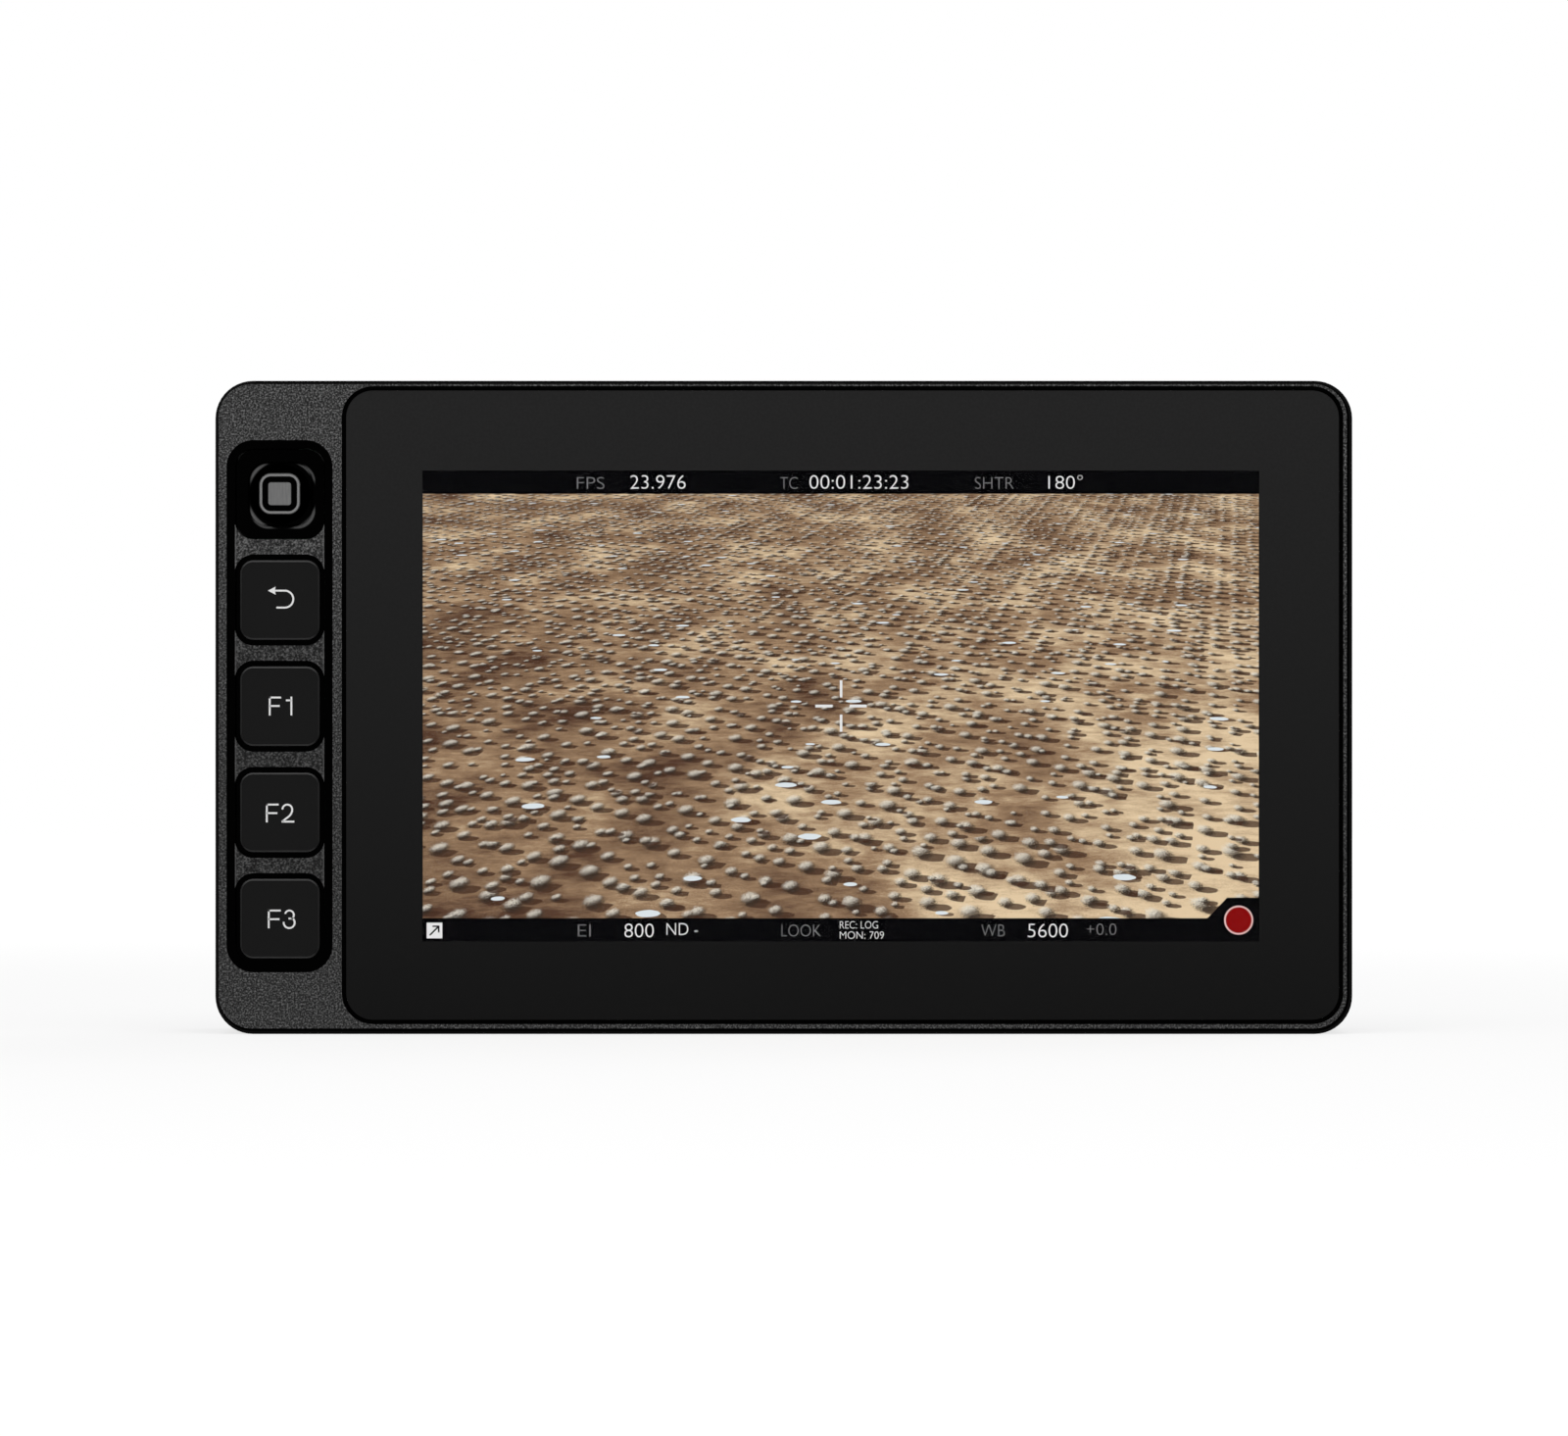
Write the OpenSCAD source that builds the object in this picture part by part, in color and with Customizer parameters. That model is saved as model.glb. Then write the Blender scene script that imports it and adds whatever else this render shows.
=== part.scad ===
// Five inch camera field monitor: machined housing, bonded display, key column with a
// two-axis joystick, finned rear cover and a slide-in battery plate.
// Frame: X across the screen, -Y out of the screen, Z up, origin under the middle of the body.
// "depth" below is always measured back from the front face of the housing.

/* [Body] */
// Width of the body
body_w = 150.4; // [148:0.1:156]
// Height of the body
body_h = 86.4; // [85:0.1:92]
// Depth of the body, front face to rear face
body_d = 25; // [24:0.1:30]
// Radius of the four outer corners
body_r = 5; // [4.5:0.1:7]
// Bevel round the front edge
front_bevel = 0.4; // [0.2:0.05:0.5]
// Bevel round the rear edge
rear_bevel = 1; // [0.4:0.1:1.4]
// Thickness of the side walls
wall = 2.4; // [2:0.1:2.6]
// Thickness of the front plate
front_t = 2.9; // [2.7:0.05:3.1]
// Depth at which the rear cover meets the housing
split_depth = 17; // [16.8:0.1:17.5]
// Width of the seam round the body where they meet
seam_w = 0.35; // [0.2:0.05:0.5]
// Depth of that seam
seam_in = 0.4; // [0.2:0.05:0.5]

/* [Glass] */
// Width of the key column, from the left side of the body to the groove
column_w = 16.72; // [16.2:0.01:17.6]
// Width of the rim at the right of the groove
right_rim = 1.18; // [1:0.01:1.6]
// Width of the rim above the groove
top_rim = 0.7; // [0.6:0.05:1.2]
// Width of the rim below the groove
bottom_rim = 1.3; // [0.8:0.05:1.6]
// Corner radius of the cover glass
glass_r = 3.7; // [3:0.1:4.5]
// Thickness of the cover glass
glass_t = 1.1; // [0.9:0.05:1.2]
// How far the glass sits below the face
glass_sink = 0.15; // [0.05:0.05:0.25]
// Groove between the glass and the housing
glass_gap = 0.45; // [0.3:0.05:0.5]
// Thickness of the printed border and of the clear bond inside it
mask_t = 0.1; // [0.05:0.05:0.15]
// Thickness of the adhesive gasket
gasket_t = 0.2; // [0.1:0.05:0.3]
// Width of the adhesive gasket
gasket_w = 2.4; // [1.5:0.1:3]
// Bevel round the front of the glass
glass_bevel = 0.12; // [0.05:0.01:0.2]

/* [Display] */
// Printed border at the left of the picture
border_left = 10.23; // [9:0.01:12]
// Printed border at the right of the picture
border_right = 10.68; // [9:0.01:12]
// Printed border above the picture
border_top = 10.72; // [9:0.01:12]
// Printed border below the picture
border_bottom = 10.52; // [9:0.01:12]
// Border of the display cell outside the picture, at the sides
cell_side = 1.65; // [1.2:0.05:2]
// Border of the display cell outside the picture, above and below
cell_end = 2.37; // [1.8:0.01:2.5]
// Thickness of the display cell
cell_t = 1; // [0.8:0.05:1.2]
// Thickness of the backlight
backlight_t = 2.8; // [2.4:0.1:3]
// Wall of the display tray
tray_t = 0.8; // [0.6:0.05:0.9]
// Clearance round the display cell
cell_gap = 0.4; // [0.2:0.05:0.5]
// Thickness of the frame behind the display tray
mid_t = 1.2; // [1:0.1:1.4]

/* [Keys] */
// Face left of the key trough
left_land = 1.48; // [1.3:0.01:1.7]
// Face between the key trough and the glass groove
right_land = 1.2; // [1:0.01:1.5]
// Face above the key trough
top_land = 7.84; // [7:0.01:9]
// Face below the key trough
bottom_land = 8.16; // [7:0.01:9]
// Height of the bars between the keys
bar_h = 2; // [1.6:0.05:2.4]
// Clearance of the key caps at their sides
key_side_gap = 0.7; // [0.5:0.05:0.8]
// Clearance of the key caps above and below
key_end_gap = 0.775; // [0.5:0.005:0.9]
// Corner radius of the key caps
key_r = 1.75; // [1.4:0.05:2.2]
// Bevel round the face of the key caps
key_bevel = 0.22; // [0.1:0.01:0.4]
// Depth of the key faces
key_sink = 0.75; // [0.5:0.05:1]
// Key travel
key_travel = 0.4; // [0.2:0.05:0.5]
// Corner radius of the key openings
opening_r = 2.5; // [2:0.05:3]
// Channel on each side of the key openings
channel_w = 1.07; // [0.9:0.01:1.1]
// Depth of the key trough
trough_depth = 1.8; // [1.6:0.05:2]
// Depth of the bars between the keys
bar_sink = 0.15; // [0.1:0.05:0.4]
// Gap between the retaining flanges behind two keys
flange_space = 0.85; // [0.7:0.05:1]
// Thickness of the retaining flange
flange_t = 0.7; // [0.5:0.05:0.8]
// Gap between a key flange and the front plate
flange_gap = 0.15; // [0.1:0.05:0.2]
// Clearance of a flange at the sides of its opening
flange_side = 0.1; // [0.1:0.05:0.2]
// Radius of the key stems
stem_r = 1.5; // [1.2:0.05:1.6]
// Size of the square switches
switch_size = 6; // [5:0.1:6.4]
// Height of the switches
switch_h = 3.2; // [3:0.05:3.3]
// Depth of the well in each switch
well_depth = 1.2; // [1.1:0.05:1.6]
// Clearance round a stem in its well
well_gap = 0.25; // [0.15:0.05:0.4]
// How far a stem stands off the floor of its well when pressed
well_end = 0.3; // [0.1:0.05:0.4]
// Depth at which the key board starts
key_board_depth = 9.4; // [9.3:0.05:9.6]
// Thickness of the boards
board_t = 1.6; // [1.2:0.1:1.7]

/* [Joystick] */
// Size of the joystick cap
cap_size = 5.43; // [5:0.01:5.6]
// Corner radius of the joystick cap
cap_r = 1.55; // [1.2:0.05:1.8]
// Width of the cap rim
rim_w = 0.43; // [0.3:0.01:0.6]
// Size of the raised pad
pad_size = 3.06; // [2.6:0.01:3.4]
// Corner radius of the raised pad
pad_r = 0.45; // [0.2:0.05:0.8]
// Depth of the recess round the pad
cap_recess = 0.4; // [0.2:0.05:0.5]
// Thickness of the cap
cap_t = 0.85; // [0.7:0.05:0.9]
// Depth of the cap face
cap_sink = 0.3; // [0.2:0.05:0.4]
// Radius of the neck under the cap
neck_r = 1.3; // [1.1:0.05:1.4]
// Depth of the pivot
pivot_depth = 6.6; // [6.5:0.05:6.7]
// Radius of the steel stem
shaft_r = 0.95; // [0.8:0.05:1]
// Travel of the press
press_travel = 0.25; // [0.15:0.05:0.3]
// Running clearance of pins and stem
fit_gap = 0.04; // [0.02:0.01:0.06]
// Radius of the gimbal pins
pin_r = 0.6; // [0.5:0.05:0.65]
// Outer radius of the gimbal ring
ring_r = 4.3; // [4.2:0.05:4.35]
// Wall of the gimbal ring
ring_wall = 1.1; // [1:0.05:1.2]
// Thickness of the gimbal ring
ring_t = 2.2; // [2:0.05:2.3]
// Radius of the hub
hub_r = 2.4; // [2.2:0.05:2.5]
// Thickness of the hub
hub_t = 2.4; // [2.2:0.05:2.5]
// How much narrower the joystick base is than its opening
base_inset = 0.5; // [0.4:0.05:0.8]
// Clearance of the bezel in its opening
bezel_gap = 0.15; // [0.1:0.01:0.2]
// Height of the centre switch
centre_switch_h = 0.8; // [0.6:0.05:1]
// Clearance below the stem when it is pressed
stem_clear = 0.15; // [0.12:0.01:0.2]
// Radius of the hollow in the joystick base
base_bore_r = 4.7; // [4.6:0.05:4.8]
// Size of the raised square collar
collar_size = 8.55; // [8.2:0.05:9]
// Corner radius of the collar
collar_r = 2.6; // [2:0.05:3]
// Depth of the collar face
collar_sink = 1.95; // [1.9:0.05:2.1]
// Radius of the round dish in the collar
dish_r = 4.05; // [3.8:0.05:4.1]
// Radius of the dish floor opening
dish_floor_r = 2.1; // [2:0.05:2.4]

/* [Mounting] */
// Depth of the mounting threads
mount_depth = 12.1; // [12:0.05:12.2]
// Radius of the quarter-inch thread's crests
thread_r = 2.59; // [2.5:0.01:2.7]
// Outer radius of the thread inserts
insert_r = 4; // [3.6:0.1:4]
// Length of the thread inserts
insert_l = 6.4; // [5:0.1:6.5]
// Metal round and above each insert
insert_wall = 0.7; // [0.6:0.05:0.8]

/* [Ports] */
// Depth of the port recess in the right side
port_recess = 1.2; // [0.8:0.1:1.4]
// Width of the port recess
port_recess_w = 10.4; // [10:0.1:10.6]
// Distance of the port recess from the top and the bottom
port_end = 9.2; // [8.6:0.1:10]
// Distance of the outer sockets from the ends of the recess
port_margin = 2; // [1.5:0.1:3]
// Corner radius of the port recess
port_r = 1.5; // [0.5:0.1:3]
// Depth of the port centres
port_depth = 9.2; // [9.1:0.05:9.3]
// Length of the sockets
socket_l = 12; // [10:0.5:13]
// Long side of the video sockets
video_w = 15; // [14:0.1:15.4]
// Short side of the video sockets
video_h = 5.6; // [5:0.1:5.6]
// Depth of the mouth of the video sockets
video_mouth = 10; // [8:0.5:11]
// Sheet of the video sockets
video_sheet = 0.4; // [0.3:0.05:0.5]
// Corner radius of the video sockets
video_r = 0.6; // [0.45:0.05:1]
// Long side of the data socket
data_w = 9; // [8:0.1:9.4]
// Short side of the data socket
data_h = 3.3; // [3:0.1:3.6]
// Length of the data socket
data_l = 8; // [7:0.5:9]
// Sheet of the data socket
data_sheet = 0.35; // [0.25:0.05:0.4]
// Thickness of the data socket's tongue
data_tongue_t = 0.7; // [0.6:0.05:0.8]
// Radius of the audio socket's nose
audio_r = 2.9; // [2.6:0.1:3]
// Radius of the audio socket's bore
audio_bore_r = 1.8; // [1.75:0.05:1.9]
// Radius of the power socket's nose
power_r = 3.6; // [3.4:0.1:3.8]
// Radius of the power socket's bore
power_bore_r = 2.75; // [2.5:0.05:3]
// Radius of the power socket's pin
power_pin_r = 1; // [0.6:0.05:1.2]
// Length of the noses of the round sockets
nose_l = 3; // [2:0.1:4]
// Thickness of the bodies of the round sockets
socket_t = 5.6; // [5:0.1:5.6]
// Clearance round a socket in its window
port_gap = 0.15; // [0.1:0.05:0.3]

/* [Rear] */
// Thickness of the rear cover behind the boards
bay_floor_t = 1.8; // [1.6:0.1:2]
// Depth of the battery bay
bay_depth = 3.6; // [3.4:0.1:3.8]
// Width of the battery bay
bay_w = 42; // [41:0.1:44]
// Height of the closed lower end of the bay
bay_z = 9; // [8:0.1:10]
// Distance from cooling groove to cooling groove
groove_pitch = 4.6; // [4:0.1:5.4]
// Width of a cooling groove
groove_w = 2.6; // [2:0.1:2.8]
// Depth of a cooling groove
groove_depth = 3.2; // [2:0.1:3.4]
// Distance of the grooves from the top and the bottom
groove_end = 13.2; // [12:0.1:16]
// Plain face beside the bay and beside the screw heads
groove_edge = 4; // [3:0.5:6]
// Inset of the cover screws from the four sides
screw_inset = 5.4; // [5.2:0.1:5.5]
// Radius of the cover screw shanks
screw_r = 1.25; // [1.1:0.05:1.4]
// Radius of the cover screw heads
head_r = 2.6; // [2.4:0.1:2.8]
// Height of the cover screw heads
head_h = 1.8; // [1.4:0.1:2]
// Radius of the screw bosses
boss_r = 3; // [2.8:0.1:3.1]

/* [Battery plate] */
// Clearance of the battery plate at the sides of the bay
plate_gap = 1; // [0.5:0.1:1.5]
// Distance of the battery plate from the closed end of the bay
plate_rise = 3; // [2:0.1:4]
// Distance of the battery plate from the top of the body
plate_top = 16.4; // [14:0.1:20]
// Thickness of the battery plate
plate_t = 1.4; // [1.2:0.1:1.6]
// Distance of the hooks from the sides of the plate
hook_inset = 0.2; // [0:0.1:1]
// Wall of the hooks
hook_wall = 1.2; // [1:0.1:1.6]
// Reach of the hook lips
hook_lip = 1.2; // [0.8:0.1:1.4]
// Thickness of the hook lips
hook_t = 0.9; // [0.7:0.1:1]
// Length of each hook
hook_l = 9; // [7:0.5:11]
// Distance of the lower hooks from the lower end of the plate
hook_low = 14.5; // [12:0.5:18]
// Distance of the upper hooks from the upper end of the plate
hook_high = 19.5; // [16:0.5:24]
// Width of the contact block
block_w = 18; // [16:0.5:24]
// Height of the contact block
block_h = 6; // [5:0.5:8]
// Distance from blade to blade
blade_pitch = 6; // [5:0.5:7]
// Width of the latch post
latch_w = 7; // [6:0.1:7.5]
// Height of the latch post
latch_h = 6; // [5:0.1:6.5]
// Latch travel
latch_travel = 1.6; // [1:0.1:1.7]
// Clearance round the latch
latch_gap = 0.1; // [0.08:0.01:0.15]

/* [Boards] */
// Distance of the main board from the left side of the body
board_left = 18.2; // [18:0.1:20]
// Clearance of the main board from the right wall
board_right = 1.8; // [1.5:0.1:3]
// Clearance of the main board from the top and bottom walls
board_end = 6.4; // [6.2:0.1:8]
// Depth at which the main board starts
main_depth = 12; // [12:0.05:12.2]
// Radius of the standoffs
standoff_r = 2.5; // [2:0.1:3]
// Radius of the posts in the housing
post_r = 2.4; // [2:0.1:2.6]
// Radius of the small screw shanks
small_screw_r = 0.8; // [0.6:0.05:1]
// Radius of the small screw heads
small_head_r = 1.7; // [1.4:0.05:2]
// Height of the small screw heads
small_head_h = 0.7; // [0.5:0.05:0.8]
// Size of the processor
chip_size = 17; // [14:0.5:20]
// Thickness of the processor
chip_t = 1.8; // [1.4:0.1:2]
// Thickness of the thermal pad
pad_t = 1; // [0.5:0.1:1.2]

/* [Power button] */
// Radius of the power button
button_r = 3.5; // [3:0.1:3.8]
// Distance of the power button from the left side
button_inset = 22.2; // [21.8:0.1:24]
// Depth of the power button's centre
button_depth = 10.2; // [10:0.1:10.3]
// Travel of the power button
button_travel = 0.5; // [0.3:0.05:0.6]
// Clearance round the power button
button_gap = 0.12; // [0.1:0.01:0.2]

/* [Hidden] */

$fn = 64;
over = 0.5;              // how far a cut runs past a face
hair = 0.05;             // play between a fastener and its hole

front_y = -body_d / 2;
side_x = body_w / 2;
glass_w = body_w - column_w - right_rim - 2 * glass_gap;
glass_h = body_h - top_rim - bottom_rim - 2 * glass_gap;
glass_x = side_x - right_rim - glass_gap - glass_w / 2;
glass_z = bottom_rim + glass_gap + glass_h / 2;
view_w = glass_w - border_left - border_right;
view_h = glass_h - border_top - border_bottom;
view_x = glass_x + (border_left - border_right) / 2;
view_z = glass_z + (border_bottom - border_top) / 2;

mask_depth = glass_sink + glass_t;
cell_depth = mask_depth + mask_t;
ledge_depth = cell_depth + gasket_t;
cell_w = view_w + 2 * cell_side;
cell_h = view_h + 2 * cell_end;
backlight_depth = cell_depth + cell_t;
tray_back_depth = backlight_depth + backlight_t;
mid_depth = tray_back_depth + tray_t;
mid_back = mid_depth + mid_t;
main_back = main_depth + board_t;

inner_w = body_w - 2 * wall;
inner_h = body_h - 2 * wall;
inner_r = body_r - wall;

// five places fill the trough: four bars part them
trough_w = column_w - left_land - right_land;
trough_h = body_h - top_land - bottom_land;
trough_r = opening_r + channel_w;
key_x = -side_x + left_land + trough_w / 2;
key_z = bottom_land + trough_h / 2;
key_pitch = (trough_h - 2 * channel_w + bar_h) / 5;
opening_w = trough_w - 2 * channel_w;
opening_h = key_pitch - bar_h;
bar_w = opening_w - 0.1;
key_w = opening_w - 2 * key_side_gap;
key_h = opening_h - 2 * key_end_gap;
flange_w = opening_w - 2 * flange_side;
flange_h = key_pitch - flange_space;
flange_depth = front_t + flange_gap;
switch_depth = key_board_depth - switch_h;
stem_end = switch_depth + well_depth - key_travel - well_end;

joystick_z = key_z + 2 * key_pitch;
neck_end = pivot_depth - hub_t / 2 - 2.1;
shaft_end = key_board_depth - centre_switch_h - press_travel - stem_clear;
base_size = opening_w - base_inset;
base_depth = front_t + 0.1;
base_h = key_board_depth - base_depth;
bezel_step = collar_sink + 0.5;

boss_depth = mid_back + 0.2;
insert_boss = insert_r + insert_wall;

cover_floor = body_d - bay_depth - bay_floor_t;
bay_floor = body_d - bay_depth;
screw_x = side_x - screw_inset;
screw_z = [screw_inset, body_h - screw_inset];
head_sink = 0.4;
head_seat = body_d - head_h - head_sink;
groove_l = body_h - 2 * groove_end;
flank_w = screw_x - head_r - bay_w / 2;
groove_n = floor((flank_w - 2 * groove_edge + groove_pitch - groove_w) / groove_pitch);

board_x0 = -side_x + board_left;
board_x1 = side_x - wall - board_right;
board_z0 = wall + board_end;
board_z1 = body_h - wall - board_end;
standoff_x = [board_x0 + 6, board_x1 - 16];
standoff_z = [board_z0 + 8, board_z1 - 8];
mid_right = board_x1 - 12;
frame_inset = post_r + 0.8;
frame_x = [board_x0 + 12, board_x1 - 14];
frame_z = [wall + frame_inset, body_h - wall - frame_inset];
post_x = key_x + 4.6;
post_z = [wall + post_r + 1, body_h - wall - post_r - 1];

plate_w = bay_w - 2 * plate_gap;
plate_h = body_h - plate_top - bay_z - plate_rise;
plate_z = bay_z + plate_rise + plate_h / 2;
plate_back = bay_floor + plate_t;
plate_low = plate_z - plate_h / 2;
plate_high = plate_z + plate_h / 2;
hook_top = body_d - 0.2;
hook_zs = [plate_low + hook_low, plate_high - hook_high];
plate_screw_x = plate_w / 2 - 4;
plate_screw_zs = [plate_low + 4, plate_high - 4];
block_top = body_d - 0.5;
block_z = plate_low + block_h / 2 + 0.5;
blade_t = 0.8;
blade_w = 1.2;
blade_l = 10;
blade_top = block_top - 0.4;
latch_x = 9;
latch_z = plate_high - 9;
latch_flange = 0.8;
latch_flange_t = 1;
latch_seat = bay_floor - 0.2;
latch_top = plate_back + latch_travel;
latch_box_t = 1;
latch_box_depth = main_back + 2;
latch_well_w = latch_w + 2 * latch_flange + 4 * latch_gap;
latch_well_h = latch_h + 2 * latch_flange + 4 * latch_gap;
spring_r = 2.4;
spring_wall = 0.5;

button_x = -side_x + button_inset;
button_flange = 1;
button_flange_t = 0.8;
button_bevel = 0.3;
button_top = body_h - 0.2;
button_switch_z = body_h - wall - 4.1;
button_switch_h = 5.4;
button_stem_r = 1.2;
button_stem_in = 0.5;    // how far the stem reaches into its switch

chip_x = -16;
chip_z = body_h / 2 + 6.8;
small_chip_t = 1.1;
// x, height above the middle, width and height of the small chips
small_chips = [[8, 14.8, 11, 9], [8, 0.8, 11, 9], [-38, 6.8, 8, 8], [30, -13.2, 9, 12], [-30, -17.2, 7, 7]];

// sockets from the bottom up, with equal gaps: power, audio, data, two video
port_h = body_h - 2 * port_end;
port_sizes = 2 * power_r + 2 * audio_r + data_w + 2 * video_w;
port_space = (port_h - 2 * port_margin - port_sizes) / 4;
power_z = port_end + port_margin + power_r;
audio_z = power_z + power_r + port_space + audio_r;
data_z = audio_z + audio_r + port_space + data_w / 2;
video_out_z = data_z + data_w / 2 + port_space + video_w / 2;
video_in_z = video_out_z + video_w + port_space;
port_face = side_x - port_recess;
data_r = data_h / 2 - 0.01;

function y_at(depth) = front_y + depth;

// Rounded rectangle in the plane, with true arcs
module rounded(w, h, r) {
    square([w - 2 * r, h], center = true);
    square([w, h - 2 * r], center = true);
    for (sx = [-1, 1], sz = [-1, 1])
        translate([sx * (w / 2 - r), sz * (h / 2 - r)])
            circle(r);
}

// Stands a flat outline up in X and Z and gives it a thickness towards +Y
module stand(t) {
    translate([0, t, 0])
        rotate([90, 0, 0])
            linear_extrude(t)
                children();
}

module slab(w, h, r, t) {
    stand(t) rounded(w, h, r);
}

// Rounded slab whose front edge is bevelled all round by c
module bevel_slab(w, h, r, t, c) {
    translate([0, c, 0])
        slab(w, h, r, t - c);
    for (sx = [-1, 1], sz = [-1, 1])
        translate([sx * (w / 2 - r), 0, sz * (h / 2 - r)])
            rotate([-90, 0, 0])
                cylinder(h = c, r1 = r - c, r2 = r);
    translate([-w / 2 + r, 0, 0])
        rotate([90, 0, 90])
            linear_extrude(w - 2 * r)
                polygon([[0, c - h / 2], [c, -h / 2], [c, h / 2], [0, h / 2 - c]]);
    translate([0, 0, -h / 2 + r])
        linear_extrude(h - 2 * r)
            polygon([[c - w / 2, 0], [w / 2 - c, 0], [w / 2, c], [-w / 2, c]]);
}

// Round bar along Y from one depth to another
module rod(r, from, to) {
    translate([0, y_at(from), 0])
        rotate([-90, 0, 0])
            cylinder(h = to - from, r = r);
}

module ring_rod(r, bore, from, to) {
    difference() {
        rod(r, from, to);
        rod(bore, from - over, to + over);
    }
}

// Block between two depths, centred in X and Z
module block(w, h, from, to) {
    translate([-w / 2, y_at(from), -h / 2])
        cube([w, to - from, h]);
}

// Pan head screw driven from the rear, with a hexagon socket
module rear_screw(shank, head, head_t, from, seat) {
    difference() {
        union() {
            rod(shank, from, seat);
            rod(head, seat, seat + head_t);
        }
        translate([0, y_at(seat + head_t / 3), 0])
            rotate([-90, 0, 0])
                cylinder(h = head_t, r = head * 0.5, $fn = 6);
    }
}

// ---------------------------------------------------------------- housing

module key_places() {
    for (k = [-2 : 2])
        translate([key_x, 0, key_z + k * key_pitch])
            children();
}

module corner_places() {
    for (sx = [-1, 1], z = screw_z)
        translate([sx * screw_x, 0, z])
            children();
}

// Screw pillars that run into both walls of their corner
module corner_pillars(from, to) {
    for (sx = [-1, 1], sz = [-1, 1])
        translate([sx * screw_x, y_at(from), body_h / 2 + sz * (body_h / 2 - screw_inset)])
            mirror([sx < 0 ? 1 : 0, 0, 0])
                mirror([0, 0, sz < 0 ? 1 : 0])
                    stand(to - from) {
                        circle(boss_r);
                        translate([-boss_r, 0])
                            square([boss_r + screw_inset - wall / 2, screw_inset - wall / 2]);
                        translate([0, -boss_r])
                            square([screw_inset - wall / 2, boss_r + screw_inset - wall / 2]);
                    }
}

module frame_places() {
    for (x = frame_x, z = frame_z)
        translate([x, 0, z])
            children();
}

module key_trough() {
    difference() {
        translate([key_x, y_at(-over), key_z])
            slab(trough_w, trough_h, trough_r, trough_depth + over);
        for (k = [-2 : 1])
            translate([key_x, 0, key_z + (k + 0.5) * key_pitch])
                difference() {
                    block(bar_w, key_pitch, bar_sink, trough_depth + over);
                    for (side = [-1, 1])
                        translate([0, y_at(-over), side * key_pitch / 2])
                            slab(opening_w, opening_h, opening_r, trough_depth + 3 * over);
                }
    }
    key_places()
        translate([0, y_at(trough_depth - over), 0])
            slab(opening_w, opening_h, opening_r, front_t - trough_depth + 2 * over);
}

module housing_cavity() {
    difference() {
        translate([0, y_at(front_t), body_h / 2])
            slab(inner_w, inner_h, inner_r, split_depth - front_t + over);
        corner_pillars(front_t - over, split_depth + 2 * over);
        frame_places() rod(post_r, front_t - over, mid_depth);
        for (z = post_z)
            translate([post_x, 0, z])
                rod(post_r, front_t - over, key_board_depth);
        for (z = [insert_l / 2 + insert_wall / 2, body_h - insert_l / 2 - insert_wall / 2])
            translate([0, 0, z])
                block(2 * insert_boss, insert_l + insert_wall, boss_depth, split_depth + 2 * over);
    }
}

module port_windows() {
    translate([port_face, y_at(port_depth), body_h / 2])
        rotate([0, 0, 90])
            translate([0, -port_recess - over, 0])
                slab(port_recess_w, port_h, port_r, port_recess + over);
    for (z = [video_in_z, video_out_z])
        port_window(z, video_w, video_h, video_r);
    port_window(data_z, data_w, data_h, data_r);
    for (spot = [[audio_z, audio_r], [power_z, power_r]])
        translate([port_face - wall, y_at(port_depth), spot[0]])
            rotate([0, 90, 0])
                cylinder(h = wall + over, r = spot[1] + port_gap);
}

module port_window(z, w, h, r) {
    translate([port_face + over, y_at(port_depth), z])
        rotate([0, 0, 90])
            slab(h + 2 * port_gap, w + 2 * port_gap, r, wall + over);
}

module insert_holes() {
    for (z = [-over, body_h - insert_l])
        translate([0, y_at(mount_depth), z])
            cylinder(h = insert_l + over, r = insert_r);
}

module front_housing() {
    color([0.13, 0.13, 0.13])
        difference() {
            translate([0, front_y, body_h / 2])
                bevel_slab(body_w, body_h, body_r, split_depth, front_bevel);
            translate([glass_x, y_at(-over), glass_z])
                slab(glass_w + 2 * glass_gap, glass_h + 2 * glass_gap, glass_r + glass_gap,
                     ledge_depth + over);
            translate([view_x, y_at(ledge_depth - over), view_z])
                slab(cell_w + 2 * cell_gap, cell_h + 2 * cell_gap, 1, front_t);
            key_trough();
            housing_cavity();
            port_windows();
            insert_holes();
            corner_places() rod(screw_r + hair, front_t + 2, split_depth + over);
            frame_places() rod(small_screw_r + hair, front_t, mid_depth + over);
            for (z = post_z)
                translate([post_x, 0, z])
                    rod(small_screw_r + hair, front_t, key_board_depth + over);
            translate([button_x, y_at(button_depth), body_h - wall - over])
                cylinder(h = wall + 2 * over, r = button_r + button_gap);
        }
}

// ---------------------------------------------------------------- display

module cover_glass() {
    color([0.05, 0.05, 0.06, 0.5])
        translate([glass_x, y_at(glass_sink), glass_z])
            bevel_slab(glass_w, glass_h, glass_r, glass_t, glass_bevel);
}

module border_mask() {
    color([0.02, 0.02, 0.02])
        difference() {
            translate([glass_x, y_at(mask_depth), glass_z])
                slab(glass_w, glass_h, glass_r, mask_t);
            translate([view_x, 0, view_z])
                block(view_w, view_h, mask_depth - over, cell_depth + over);
        }
}

module bond_layer() {
    color([0.9, 0.95, 1, 0.2])
        translate([view_x, 0, view_z])
            block(view_w, view_h, mask_depth, cell_depth);
}

module glass_gasket() {
    color([0.08, 0.08, 0.08])
        difference() {
            translate([glass_x, y_at(cell_depth), glass_z])
                slab(glass_w, glass_h, glass_r, gasket_t);
            translate([glass_x, y_at(cell_depth - over), glass_z])
                slab(glass_w - 2 * gasket_w, glass_h - 2 * gasket_w, glass_r - gasket_w,
                     gasket_t + 2 * over);
        }
}

module display_cell() {
    color([0.55, 0.47, 0.38])
        translate([view_x, 0, view_z])
            block(cell_w, cell_h, cell_depth, backlight_depth);
}

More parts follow.
